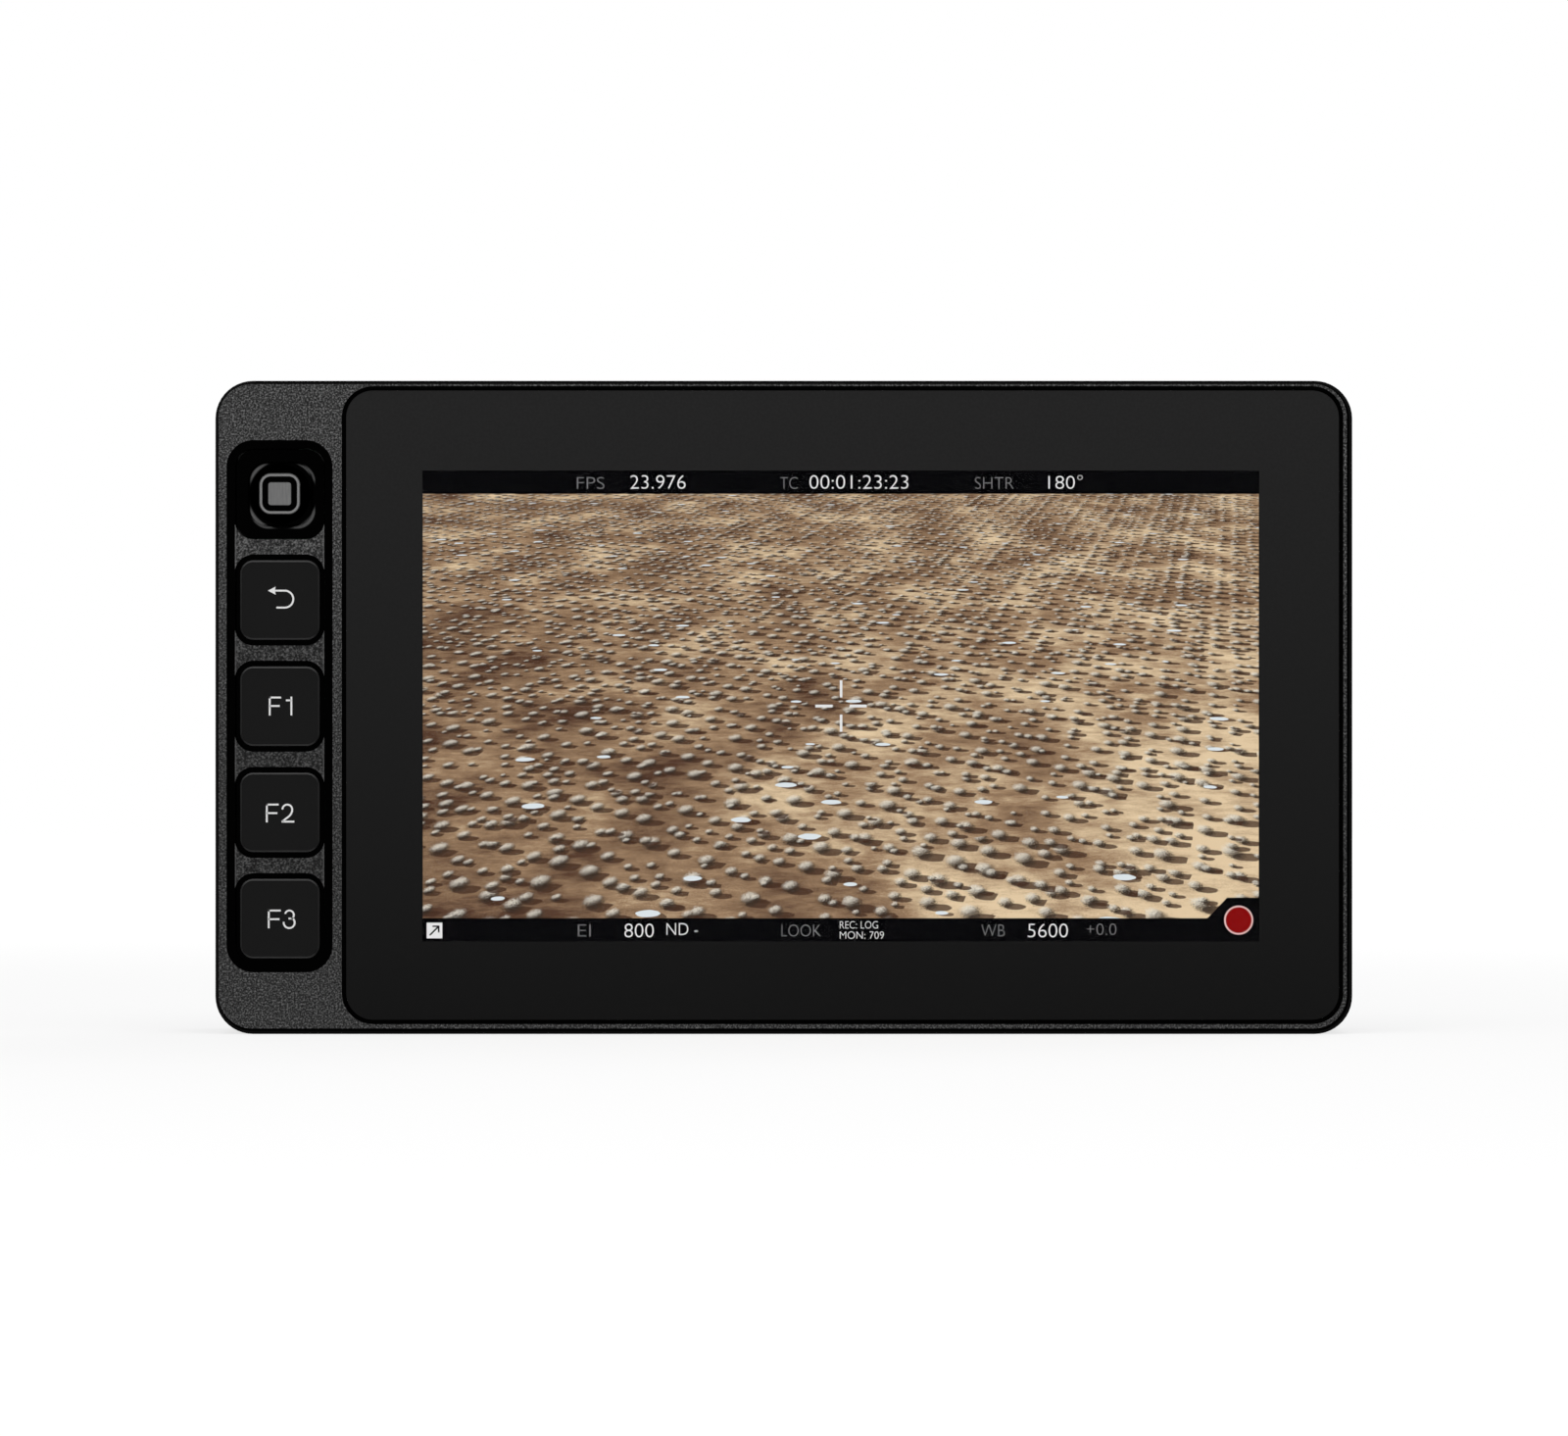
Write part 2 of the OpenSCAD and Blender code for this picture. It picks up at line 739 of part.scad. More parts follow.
module backlight() {
    color([0.9, 0.9, 0.88])
        translate([view_x, 0, view_z])
            block(cell_w, cell_h, backlight_depth, tray_back_depth);
}

module display_tray() {
    color([0.6, 0.6, 0.62])
        translate([view_x, 0, view_z])
            difference() {
                translate([0, y_at(front_t), 0])
                    slab(cell_w + 2 * tray_t, cell_h + 2 * tray_t, 1, mid_depth - front_t);
                block(cell_w, cell_h, 0, tray_back_depth);
            }
}

module mid_frame() {
    color([0.7, 0.7, 0.72])
        difference() {
            union() {
                translate([0, y_at(mid_depth), 0])
                    stand(mid_t)
                        mid_outline();
                for (x = standoff_x, z = standoff_z)
                    translate([x, 0, z])
                        rod(standoff_r, mid_back - 0.2, main_depth);
            }
            for (x = standoff_x, z = standoff_z)
                translate([x, 0, z])
                    rod(small_screw_r + hair, mid_back, main_depth + over);
            frame_places() rod(small_screw_r + hair, mid_depth - over, mid_back + over);
        }
}

module mid_outline() {
    translate([(board_x0 + mid_right) / 2, body_h / 2])
        square([mid_right - board_x0, board_z1 - board_z0], center = true);
    for (x = frame_x) {
        translate([x, body_h / 2])
            square([2 * post_r, frame_z[1] - frame_z[0]], center = true);
        for (z = frame_z)
            translate([x, z])
                circle(post_r);
    }
}

module frame_screws() {
    color([0.75, 0.75, 0.76])
        frame_places()
            rear_screw(small_screw_r, small_head_r, small_head_h, front_t + 0.4, mid_back);
}

// ---------------------------------------------------------------- keys

// Flanged cap with the stem that works its switch
module key(place) {
    color([0.07, 0.07, 0.07])
        translate([key_x, 0, key_z + place * key_pitch]) {
            translate([0, y_at(key_sink), 0])
                bevel_slab(key_w, key_h, key_r, flange_depth - key_sink, key_bevel);
            translate([0, y_at(flange_depth), 0])
                slab(flange_w, flange_h, key_r, flange_t);
            rod(stem_r, flange_depth + flange_t, stem_end);
        }
}

module key_back() { key(1); }
module key_f1() { key(0); }
module key_f2() { key(-1); }
module key_f3() { key(-2); }

module key_switches() {
    color([0.2, 0.2, 0.22])
        for (k = [-2 : 1])
            translate([key_x, 0, key_z + k * key_pitch])
                difference() {
                    block(switch_size, switch_size, switch_depth, key_board_depth);
                    rod(stem_r + well_gap, switch_depth - over, switch_depth + well_depth);
                }
}

// Board behind the column, with an ear at each end for its screw
module key_board() {
    ear = 2 * post_r + 0.4;
    left = -side_x + wall + 0.3;
    right = key_x + opening_w / 2 + 0.3;
    color([0.05, 0.25, 0.12])
        difference() {
            translate([0, y_at(key_board_depth), 0])
                stand(board_t) {
                    translate([(left + right) / 2, key_z])
                        square([right - left, 4 * key_pitch + base_size], center = true);
                    for (z = post_z)
                        translate([post_x, (z + key_z) / 2])
                            rounded(ear, abs(z - key_z) + ear, 1);
                }
            for (z = post_z)
                translate([post_x, 0, z])
                    rod(small_screw_r + hair, key_board_depth - over, key_board_depth + board_t + over);
        }
}

module key_board_screws() {
    color([0.75, 0.75, 0.76])
        for (z = post_z)
            translate([post_x, 0, z])
                rear_screw(small_screw_r, small_head_r, small_head_h,
                           front_t + 1, key_board_depth + board_t);
}

// ---------------------------------------------------------------- joystick

module at_joystick() {
    translate([key_x, 0, joystick_z])
        children();
}

module joystick_bezel() {
    color([0.06, 0.06, 0.06])
        at_joystick()
            difference() {
                union() {
                    translate([0, y_at(bezel_step), 0])
                        slab(opening_w - 2 * bezel_gap, opening_h - 2 * bezel_gap,
                             opening_r - bezel_gap, base_depth - bezel_step);
                    translate([0, y_at(collar_sink), 0])
                        bevel_slab(collar_size, collar_size, collar_r,
                                   bezel_step - collar_sink + 0.1, 0.2);
                }
                translate([0, y_at(collar_sink), 0])
                    rotate([-90, 0, 0])
                        cylinder(h = base_depth - collar_sink, r1 = dish_r, r2 = dish_floor_r);
            }
}

module joystick_cap() {
    inner = cap_size - 2 * rim_w;
    color([0.4, 0.4, 0.4])
        at_joystick() {
            difference() {
                translate([0, y_at(cap_sink), 0])
                    bevel_slab(cap_size, cap_size, cap_r, cap_t, 0.08);
                difference() {
                    translate([0, y_at(cap_sink - over), 0])
                        slab(inner, inner, cap_r - rim_w, cap_recess + over);
                    translate([0, y_at(cap_sink + 0.08), 0])
                        slab(pad_size, pad_size, pad_r, cap_recess);
                }
            }
            rod(neck_r, cap_sink + cap_t, neck_end);
        }
}

module joystick_stem() {
    color([0.75, 0.75, 0.76])
        at_joystick()
            rod(shaft_r, neck_end, shaft_end);
}

module joystick_clip() {
    color([0.6, 0.6, 0.62])
        at_joystick()
            ring_rod(shaft_r + 0.6, shaft_r, pivot_depth + hub_t / 2 + 0.05, shaft_end - 0.1);
}

module joystick_spring() {
    color([0.8, 0.8, 0.8])
        at_joystick()
            ring_rod(shaft_r + 0.35, shaft_r + 0.05, neck_end, pivot_depth - hub_t / 2);
}

module joystick_hub() {
    color([0.72, 0.68, 0.5])
        at_joystick()
            difference() {
                union() {
                    rod(hub_r, pivot_depth - hub_t / 2, pivot_depth + hub_t / 2);
                    translate([0, y_at(pivot_depth), 0])
                        cylinder(h = 2 * (ring_r - 0.1), r = pin_r, center = true);
                }
                rod(shaft_r + fit_gap, pivot_depth - hub_t, pivot_depth + hub_t);
            }
}

module joystick_ring() {
    color([0.6, 0.6, 0.62])
        at_joystick()
            difference() {
                union() {
                    rod(ring_r, pivot_depth - ring_t / 2, pivot_depth + ring_t / 2);
                    translate([0, y_at(pivot_depth), 0])
                        rotate([0, 90, 0])
                            cylinder(h = base_size - 0.4, r = pin_r, center = true);
                }
                rod(ring_r - ring_wall, pivot_depth - ring_t, pivot_depth + ring_t);
                translate([0, y_at(pivot_depth), 0])
                    cylinder(h = 3 * ring_r, r = pin_r + fit_gap, center = true);
            }
}

module joystick_base() {
    color([0.1, 0.1, 0.1])
        at_joystick()
            difference() {
                translate([0, y_at(base_depth), 0])
                    slab(base_size, base_size, 1.5, base_h);
                rod(base_bore_r, base_depth - over, key_board_depth + over);
                translate([0, y_at(pivot_depth), 0])
                    rotate([0, 90, 0])
                        cylinder(h = 2 * base_size, r = pin_r + fit_gap, center = true);
            }
}

module joystick_switch() {
    dome = 0.6;
    color([0.2, 0.2, 0.22])
        at_joystick() {
            block(4, 4, key_board_depth - dome, key_board_depth);
            rod(1.1, key_board_depth - centre_switch_h, key_board_depth - dome);
        }
}

// ---------------------------------------------------------------- power button

module power_button() {
    flange_z = body_h - wall - button_travel / 5 - button_flange_t;
    stem_low = button_switch_z - button_stem_in;
    color([0.08, 0.08, 0.08])
        translate([button_x, y_at(button_depth), 0]) {
            translate([0, 0, flange_z + button_flange_t])
                cylinder(h = button_top - button_bevel - flange_z - button_flange_t, r = button_r);
            translate([0, 0, button_top - button_bevel])
                cylinder(h = button_bevel, r1 = button_r, r2 = button_r - button_bevel);
            translate([0, 0, flange_z])
                cylinder(h = button_flange_t, r = button_r + button_flange);
            translate([0, 0, stem_low])
                cylinder(h = flange_z - stem_low, r = button_stem_r);
        }
}

module power_switch() {
    well_low = button_switch_z - button_stem_in - button_travel - 0.5;
    color([0.2, 0.2, 0.22])
        difference() {
            translate([button_x, 0, button_switch_z - button_switch_h / 2])
                block(switch_size, button_switch_h, 2 * button_depth - main_depth, main_depth);
            translate([button_x, y_at(button_depth), well_low])
                cylinder(h = button_switch_z - well_low + over, r = button_stem_r + well_gap);
        }
}

// ---------------------------------------------------------------- boards

module main_board() {
    color([0.05, 0.25, 0.12])
        difference() {
            translate([(board_x0 + board_x1) / 2, y_at(main_depth), (board_z0 + board_z1) / 2])
                slab(board_x1 - board_x0, board_z1 - board_z0, 1.5, board_t);
            for (x = standoff_x, z = standoff_z)
                translate([x, 0, z])
                    rod(small_screw_r + hair, main_depth - over, main_back + over);
        }
}

module board_screws() {
    color([0.75, 0.75, 0.76])
        for (x = standoff_x, z = standoff_z)
            translate([x, 0, z])
                rear_screw(small_screw_r, small_head_r, small_head_h, mid_back + 1, main_back);
}

module board_chips() {
    color([0.1, 0.1, 0.11])
        for (chip = small_chips)
            translate([chip[0], 0, body_h / 2 + chip[1]])
                block(chip[2], chip[3], main_back, main_back + small_chip_t);
}

module processor() {
    color([0.1, 0.1, 0.11])
        translate([chip_x, 0, chip_z])
            block(chip_size, chip_size, main_back, main_back + chip_t);
}

module thermal_pad() {
    color([0.6, 0.7, 0.75])
        translate([chip_x, 0, chip_z])
            block(chip_size - 1, chip_size - 1, main_back + chip_t, main_back + chip_t + pad_t);
}

// ---------------------------------------------------------------- sockets

// Places a socket drawn with its mouth at the top of Z and its long side along X
module at_port(z) {
    translate([port_face, y_at(port_depth), z])
        rotate([0, 90, 0])
            children();
}

module video_socket(z) {
    tongue_w = video_w - 3;
    tongue_t = 1.2;
    color([0.75, 0.75, 0.76])
        at_port(z)
            difference() {
                translate([0, 0, -socket_l])
                    linear_extrude(socket_l)
                        rounded(video_w, video_h, video_r);
                translate([0, 0, -video_mouth])
                    linear_extrude(video_mouth + over)
                        rounded(video_w - 2 * video_sheet, video_h - 2 * video_sheet, video_r - 0.2);
            }
    color([0.05, 0.05, 0.05])
        at_port(z)
            translate([-tongue_w / 2, -tongue_t / 2, -video_mouth])
                cube([tongue_w, tongue_t, video_mouth - 2]);
}

module video_in_socket() { video_socket(video_in_z); }
module video_out_socket() { video_socket(video_out_z); }

module data_socket() {
    mouth = data_l - 1.2;
    tongue_w = data_w - 2.6;
    color([0.75, 0.75, 0.76])
        at_port(data_z) {
            difference() {
                translate([0, 0, -data_l])
                    linear_extrude(data_l)
                        rounded(data_w, data_h, data_r);
                translate([0, 0, -mouth])
                    linear_extrude(mouth + over)
                        rounded(data_w - 2 * data_sheet, data_h - 2 * data_sheet, data_r - data_sheet);
            }
            translate([-tongue_w / 2, -data_tongue_t / 2, -mouth - 0.1])
                cube([tongue_w, data_tongue_t, mouth - 1.2]);
        }
}

// Round socket: a nose with a bore, in front of a square body
module round_socket(nose_r, body_w, bore_r, bore_l) {
    difference() {
        union() {
            translate([0, 0, -nose_l])
                cylinder(h = nose_l, r = nose_r);
            translate([-body_w / 2, -socket_t / 2, -socket_l])
                cube([body_w, socket_t, socket_l - nose_l + 0.1]);
        }
        translate([0, 0, -bore_l])
            cylinder(h = bore_l + over, r = bore_r);
    }
}

module audio_socket() {
    color([0.08, 0.08, 0.08])
        at_port(audio_z)
            round_socket(audio_r, 2 * audio_r + 0.2, audio_bore_r, socket_l - 1);
}

module power_socket() {
    bore_l = socket_l - 3;
    color([0.08, 0.08, 0.08])
        at_port(power_z) {
            round_socket(power_r, 2 * power_r, power_bore_r, bore_l);
            translate([0, 0, -bore_l - 0.1])
                cylinder(h = bore_l - 1.4, r = power_pin_r);
        }
}

// ---------------------------------------------------------------- mounting threads

module bottom_insert() {
    color([0.6, 0.6, 0.62])
        translate([0, y_at(mount_depth), 0])
            difference() {
                cylinder(h = insert_l, r = insert_r);
                translate([0, 0, -over])
                    cylinder(h = insert_l + 2 * over, r = thread_r);
            }
}

module top_insert() {
    translate([0, 0, body_h - insert_l])
        bottom_insert();
}

// ---------------------------------------------------------------- rear

module cooling_grooves() {
    flank_x = bay_w / 2 + flank_w / 2;
    for (side = [-1, 1], k = [0 : groove_n - 1])
        translate([side * flank_x + (k - (groove_n - 1) / 2) * groove_pitch,
                   y_at(body_d - groove_depth), body_h / 2])
            slab(groove_w, groove_l, groove_w / 2 - 0.01, groove_depth + over);
}

module rear_cover() {
    color([0.13, 0.13, 0.13])
        difference() {
            union() {
                difference() {
                    translate([0, y_at(body_d), body_h / 2])
                        rotate([0, 0, 180])
                            bevel_slab(body_w, body_h, body_r, body_d - split_depth, rear_bevel);
                    translate([0, y_at(split_depth - over), body_h / 2])
                        slab(inner_w, inner_h, inner_r, cover_floor - split_depth + over);
                }
                corner_pillars(split_depth, cover_floor + over);
                translate([chip_x, 0, chip_z])
                    block(chip_size, chip_size, main_back + chip_t + pad_t, cover_floor + over);
                translate([latch_x, 0, latch_z])
                    block(latch_well_w + 2 * latch_box_t, latch_well_h + 2 * latch_box_t,
                          latch_box_depth, cover_floor + over);
            }
            translate([-bay_w / 2, y_at(bay_floor), bay_z])
                cube([bay_w, bay_depth + over, body_h]);
            seam();
            cooling_grooves();
            corner_places() {
                rod(screw_r + 2 * hair, split_depth - over, body_d + over);
                rod(head_r + 2 * hair, head_seat, body_d + over);
            }
            translate([latch_x, 0, latch_z])
                block(latch_well_w, latch_well_h, latch_box_depth + latch_box_t, body_d + over);
            for (sx = [-1, 1], z = plate_screw_zs)
                translate([sx * plate_screw_x, 0, z])
                    rod(small_screw_r + hair, cover_floor - over, bay_floor + over);
        }
}

// Narrow groove all round the body at the front edge of the cover
module seam() {
    difference() {
        translate([0, y_at(split_depth - over), body_h / 2])
            slab(body_w + 1, body_h + 1, body_r + 0.5, seam_w + over);
        translate([0, y_at(split_depth - 2 * over), body_h / 2])
            slab(body_w - 2 * seam_in, body_h - 2 * seam_in, body_r - seam_in, seam_w + 4 * over);
    }
}

module cover_screws() {
    color([0.2, 0.2, 0.2])
        corner_places()
            rear_screw(screw_r, head_r, head_h, front_t + 4, head_seat);
}

module battery_plate() {
    color([0.09, 0.09, 0.09])
        difference() {
            union() {
                translate([0, y_at(bay_floor), plate_z])
                    slab(plate_w, plate_h, 1.5, plate_t);
                for (side = [-1, 1], z = hook_zs)
                    translate([0, 0, z])
                        hook(side);
                translate([0, 0, block_z])
                    block(block_w, block_h, plate_back - 0.2, block_top);
            }
            for (k = [-1 : 1])
                translate([k * blade_pitch, 0, block_z])
                    block(blade_t, block_h + 2 * over, blade_top - blade_w, block_top + over);
            translate([latch_x, 0, latch_z])
                block(latch_w + 2 * latch_gap, latch_h + 2 * latch_gap,
                      bay_floor - over, plate_back + over);
            for (sx = [-1, 1], z = plate_screw_zs)
                translate([sx * plate_screw_x, 0, z]) {
                    rod(small_screw_r + hair, bay_floor - over, plate_back + over);
                    rod(small_head_r + hair, plate_back - small_head_h, plate_back + over);
                }
        }
}

// Upright with an inward lip that holds one side of the battery
module hook(side) {
    outer = plate_w / 2 - hook_inset;
    inner = outer - hook_wall;
    lip = inner - hook_lip;
    root = y_at(plate_back - 0.2);
    translate([0, 0, -hook_l / 2])
        linear_extrude(hook_l)
            polygon([[side * outer, root],
                     [side * outer, y_at(hook_top)],
                     [side * lip, y_at(hook_top)],
                     [side * lip, y_at(hook_top - hook_t)],
                     [side * inner, y_at(hook_top - hook_t)],
                     [side * inner, root]]);
}

module plate_screws() {
    color([0.75, 0.75, 0.76])
        for (sx = [-1, 1], z = plate_screw_zs)
            translate([sx * plate_screw_x, 0, z])
                rear_screw(small_screw_r, small_head_r, small_head_h,
                           cover_floor, plate_back - small_head_h);
}

module battery_contacts() {
    color([0.85, 0.7, 0.35])
        for (k = [-1 : 1])
            translate([k * blade_pitch, 0, block_z - block_h / 2 + blade_l / 2])
                block(blade_t, blade_l, blade_top - blade_w, blade_top);
}

// Flanged post with a ramp that the battery rides over
module battery_latch() {
    toe = latch_seat - 0.2;
    color([0.12, 0.12, 0.12])
        translate([latch_x, 0, latch_z]) {
            block(latch_w + 2 * latch_flange, latch_h + 2 * latch_flange,
                  latch_seat - latch_flange_t, latch_seat);
            translate([-latch_w / 2, 0, 0])
                rotate([90, 0, 90])
                    linear_extrude(latch_w)
                        polygon([[y_at(toe), -latch_h / 2],
                                 [y_at(latch_top), -latch_h / 2],
                                 [y_at(latch_top), -latch_h / 2 + 2],
                                 [y_at(plate_back + 0.3), latch_h / 2],
                                 [y_at(toe), latch_h / 2]]);
        }
}

module latch_spring() {
    color([0.8, 0.8, 0.8])
        translate([latch_x, 0, latch_z])
            ring_rod(spring_r, spring_r - spring_wall,
                     latch_box_depth + latch_box_t, latch_seat - latch_flange_t);
}

front_housing();
cover_glass();
border_mask();
bond_layer();
glass_gasket();
display_cell();
backlight();
display_tray();
mid_frame();
frame_screws();
key_back();
key_f1();
key_f2();
key_f3();
key_switches();
key_board();
key_board_screws();
joystick_bezel();
joystick_cap();
joystick_stem();
joystick_clip();
joystick_spring();
joystick_hub();
joystick_ring();
joystick_base();
joystick_switch();
power_button();
power_switch();
main_board();
board_screws();
board_chips();
processor();
thermal_pad();
video_in_socket();
video_out_socket();
data_socket();
audio_socket();
power_socket();
bottom_insert();
top_insert();
rear_cover();
cover_screws();
battery_plate();
plate_screws();
battery_contacts();
battery_latch();
latch_spring();
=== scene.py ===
import math

import bmesh
import bpy
from mathutils import Matrix, Vector


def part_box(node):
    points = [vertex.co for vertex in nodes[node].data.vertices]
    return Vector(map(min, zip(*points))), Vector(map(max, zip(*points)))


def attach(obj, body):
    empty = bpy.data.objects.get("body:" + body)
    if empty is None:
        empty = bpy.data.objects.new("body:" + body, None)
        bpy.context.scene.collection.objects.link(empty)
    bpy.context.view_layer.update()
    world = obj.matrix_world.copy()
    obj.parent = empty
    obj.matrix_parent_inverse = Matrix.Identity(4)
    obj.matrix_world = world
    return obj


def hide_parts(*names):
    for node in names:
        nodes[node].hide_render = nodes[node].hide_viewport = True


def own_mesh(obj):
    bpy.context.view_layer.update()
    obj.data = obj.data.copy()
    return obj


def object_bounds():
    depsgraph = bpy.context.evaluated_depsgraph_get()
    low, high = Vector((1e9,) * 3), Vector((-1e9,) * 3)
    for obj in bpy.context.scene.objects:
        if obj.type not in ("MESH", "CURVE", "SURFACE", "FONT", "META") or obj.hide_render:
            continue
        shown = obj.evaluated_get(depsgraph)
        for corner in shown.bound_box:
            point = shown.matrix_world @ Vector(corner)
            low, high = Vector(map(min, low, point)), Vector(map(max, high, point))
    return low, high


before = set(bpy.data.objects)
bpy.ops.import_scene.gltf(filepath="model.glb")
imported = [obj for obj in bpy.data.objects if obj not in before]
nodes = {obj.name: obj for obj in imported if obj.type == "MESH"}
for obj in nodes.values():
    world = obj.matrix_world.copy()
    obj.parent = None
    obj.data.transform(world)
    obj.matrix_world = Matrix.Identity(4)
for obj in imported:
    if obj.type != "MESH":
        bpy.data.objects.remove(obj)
cadLow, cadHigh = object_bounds()
mm = 0.001
print("frame loaded:", len(nodes), "nodes")


# places read off the front view, kept as pixels of its 1600 x 1465 frame
photo = {"mmPerPixel": 0.12962, "middleX": 799.8, "bottomY": 1055.0}


def atPixel(px, py):
    x = (px - photo["middleX"]) * photo["mmPerPixel"] * mm
    z = (photo["bottomY"] - py) * photo["mmPerPixel"] * mm
    return x, z


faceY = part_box("front_housing")[0].y
screenLow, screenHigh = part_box("bond_layer")
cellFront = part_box("display_cell")[0].y
middleZ = (cadLow.z + cadHigh.z) / 2


# a material under construction: its nodes, and short calls that add and join them
class Shader:
    def __init__(self, name):
        self.material = bpy.data.materials.new(name)
        self.material.use_nodes = True
        self.tree = self.material.node_tree
        self.main = self.tree.nodes["Principled BSDF"]
        self.output = self.tree.nodes["Material Output"]
        self.place = self.add("ShaderNodeTexCoord").outputs["Object"]
        self.relief = None

    def add(self, kind, **settings):
        node = self.tree.nodes.new(kind)
        for key, value in settings.items():
            setattr(node, key, value)
        return node

    def join(self, source, socket):
        if isinstance(source, bpy.types.NodeSocket):
            self.tree.links.new(source, socket)
        else:
            socket.default_value = source

    def calc(self, kind, a, b=0.0, c=0.0):
        node = self.add("ShaderNodeMath", operation=kind)
        for socket, value in zip(node.inputs, (a, b, c)):
            self.join(value, socket)
        return node.outputs[0]

    def length(self, a, b):
        return self.calc("SQRT", self.calc("ADD", self.calc("MULTIPLY", a, a), self.calc("MULTIPLY", b, b)))

    def axes(self, place=None):
        node = self.add("ShaderNodeSeparateXYZ")
        self.join(place or self.place, node.inputs[0])
        return node.outputs[0], node.outputs[1], node.outputs[2]

    def vector(self, x, y, z=0.0):
        node = self.add("ShaderNodeCombineXYZ")
        for socket, value in zip(node.inputs, (x, y, z)):
            self.join(value, socket)
        return node.outputs[0]

    def noise(self, scale, detail=2.0, place=None, roughness=0.5):
        node = self.add("ShaderNodeTexNoise")
        self.join(place or self.place, node.inputs["Vector"])
        node.inputs["Scale"].default_value = scale
        node.inputs["Detail"].default_value = detail
        node.inputs["Roughness"].default_value = roughness
        return node.outputs["Fac"]

    def shade(self, tone, amount):
        node = self.add("ShaderNodeMix", data_type="RGBA", blend_type="MULTIPLY")
        node.inputs[0].default_value = 1.0
        self.join(tone, node.inputs[6])
        self.join(amount, node.inputs[7])
        return node.outputs[2]

    def ramp(self, value, *stops):
        node = self.add("ShaderNodeValToRGB")
        self.join(value, node.inputs[0])
        points = node.color_ramp.elements
        while len(points) < len(stops):
            points.new(0.5)
        for point, (spot, tone) in zip(points, stops):
            point.position = spot
            point.color = (*tone, 1) if len(tone) == 3 else tone
        return node.outputs[0]

    def rise(self, value, start, end):
        # 0 at start, 1 at end; start may be the larger
        node = self.add("ShaderNodeMapRange", interpolation_type="SMOOTHSTEP")
        self.join(value, node.inputs[0])
        node.inputs[1].default_value = start
        node.inputs[2].default_value = end
        return node.outputs[0]

    def between(self, value, low, high, soft=0.0):
        if soft:
            return self.calc("SUBTRACT", self.rise(value, low - soft, low + soft),
                             self.rise(value, high - soft, high + soft))
        return self.calc("MULTIPLY", self.calc("GREATER_THAN", value, low),
                         self.calc("LESS_THAN", value, high))

    def outline(self, across, up, middle, half, radius):
        # distance outside a rounded rectangle, less than nothing inside it
        sides = []
        for value, centre, reach in ((across, middle[0], half[0]), (up, middle[1], half[1])):
            gap = self.calc("SUBTRACT", self.calc("ABSOLUTE", self.calc("SUBTRACT", value, centre)),
                            reach - radius)
            sides.append(self.calc("POWER", self.calc("MAXIMUM", gap, 0.0), 2.0))
        return self.calc("SUBTRACT", self.calc("SQRT", self.calc("ADD", *sides)), radius)

    def paintShadeBlack(self, amount, colour, roughness):
        # painted shade: where amount is 1 the surface is painted black and neither scatters nor mirrors,
        # standing in for the shade deep in a black gap
        self.colour(self.mix(amount, colour, grey(voidTone)))
        self.rough(self.mix(amount, roughness, grey(voidRoughness)))
        self.join(amount, self.main.inputs["Metallic"])
        if self.relief:
            self.join(self.calc("MULTIPLY", self.calc("SUBTRACT", 1.0, amount), self.reliefStrength),
                      self.relief.inputs["Strength"])

    def mix(self, amount, a, b):
        node = self.add("ShaderNodeMix", data_type="RGBA")
        self.join(amount, node.inputs[0])
        self.join((*a, 1) if isinstance(a, tuple) else a, node.inputs[6])
        self.join((*b, 1) if isinstance(b, tuple) else b, node.inputs[7])
        return node.outputs[2]

    def colour(self, value):
        self.join((*value, 1) if isinstance(value, tuple) else value, self.main.inputs["Base Color"])

    def rough(self, value):
        self.join(value, self.main.inputs["Roughness"])

    def bump(self, height, depth, strength=1.0):
        node = self.add("ShaderNodeBump")
        node.inputs["Strength"].default_value = strength
        node.inputs["Distance"].default_value = depth
        self.join(height, node.inputs["Height"])
        self.tree.links.new(node.outputs[0], self.main.inputs["Normal"])
        self.relief, self.reliefStrength = node, strength


def grey(level):
    return level, level, level


def fromScreen(r, g, b):
    def straight(v):
        v = v / 255
        return v / 12.92 if v <= 0.04045 else ((v + 0.055) / 1.055) ** 2.4
    return straight(r), straight(g), straight(b)


voidTone, voidRoughness = 0.0006, 0.08
coat = {"grain": 0.24 * mm, "dark": 0.0, "mid": 0.026, "light": 0.158, "cloud": 0.03, "cloudShare": 0.12,
        "cloudScale": 60, "depth": 0.03 * mm, "roughness": 0.62, "shine": 0.15,
        "corner": 5 * mm, "cornerSlack": 0.02 * mm}


def coatGrain(s):
    fine = s.noise(1 / coat["grain"], 2.0, roughness=0.62)
    speckle = s.ramp(fine, (0.34, grey(coat["dark"])), (0.5, grey(coat["mid"])),
                     (0.66, grey(coat["light"])))
    cloud = s.noise(coat["cloudScale"], 3.0)
    dull = s.ramp(fine, (0.3, grey(coat["roughness"] + 0.1)), (0.7, grey(coat["roughness"] - 0.08)))
    s.main.inputs["Specular IOR Level"].default_value = coat["shine"]
    s.bump(fine, coat["depth"], 0.7)
    cloudy = s.ramp(cloud, (0.35, grey(0.0)), (0.65, grey(coat["cloudShare"])))
    return s.mix(cloudy, speckle, grey(coat["cloud"])), dull


def bodyOutline(s, x, z, shift=0.0):
    return s.outline(x, z, (-shift, middleZ + shift),
                     ((cadHigh.x - cadLow.x) / 2, (cadHigh.z - cadLow.z) / 2), coat["corner"])


face = {"paintedShades": ((0.0, 0.9), (0.3, 0.68), (0.85, 1.0)), "lineIn": 5.72 * mm, "lineOut": 5.95 * mm,
        "lineHighlightTone": 0.12, "lineHighlightShare": 0.5, "lowBars": 0.4, "lowBarShade": 0.72,
        "pocketStart": 0.32 * mm, "pocketEnd": 3.3 * mm, "rim": 0.62 * mm,
        "edge": 0.6 * mm, "edgeShift": 0.15 * mm, "edgeDepth": 0.42 * mm}


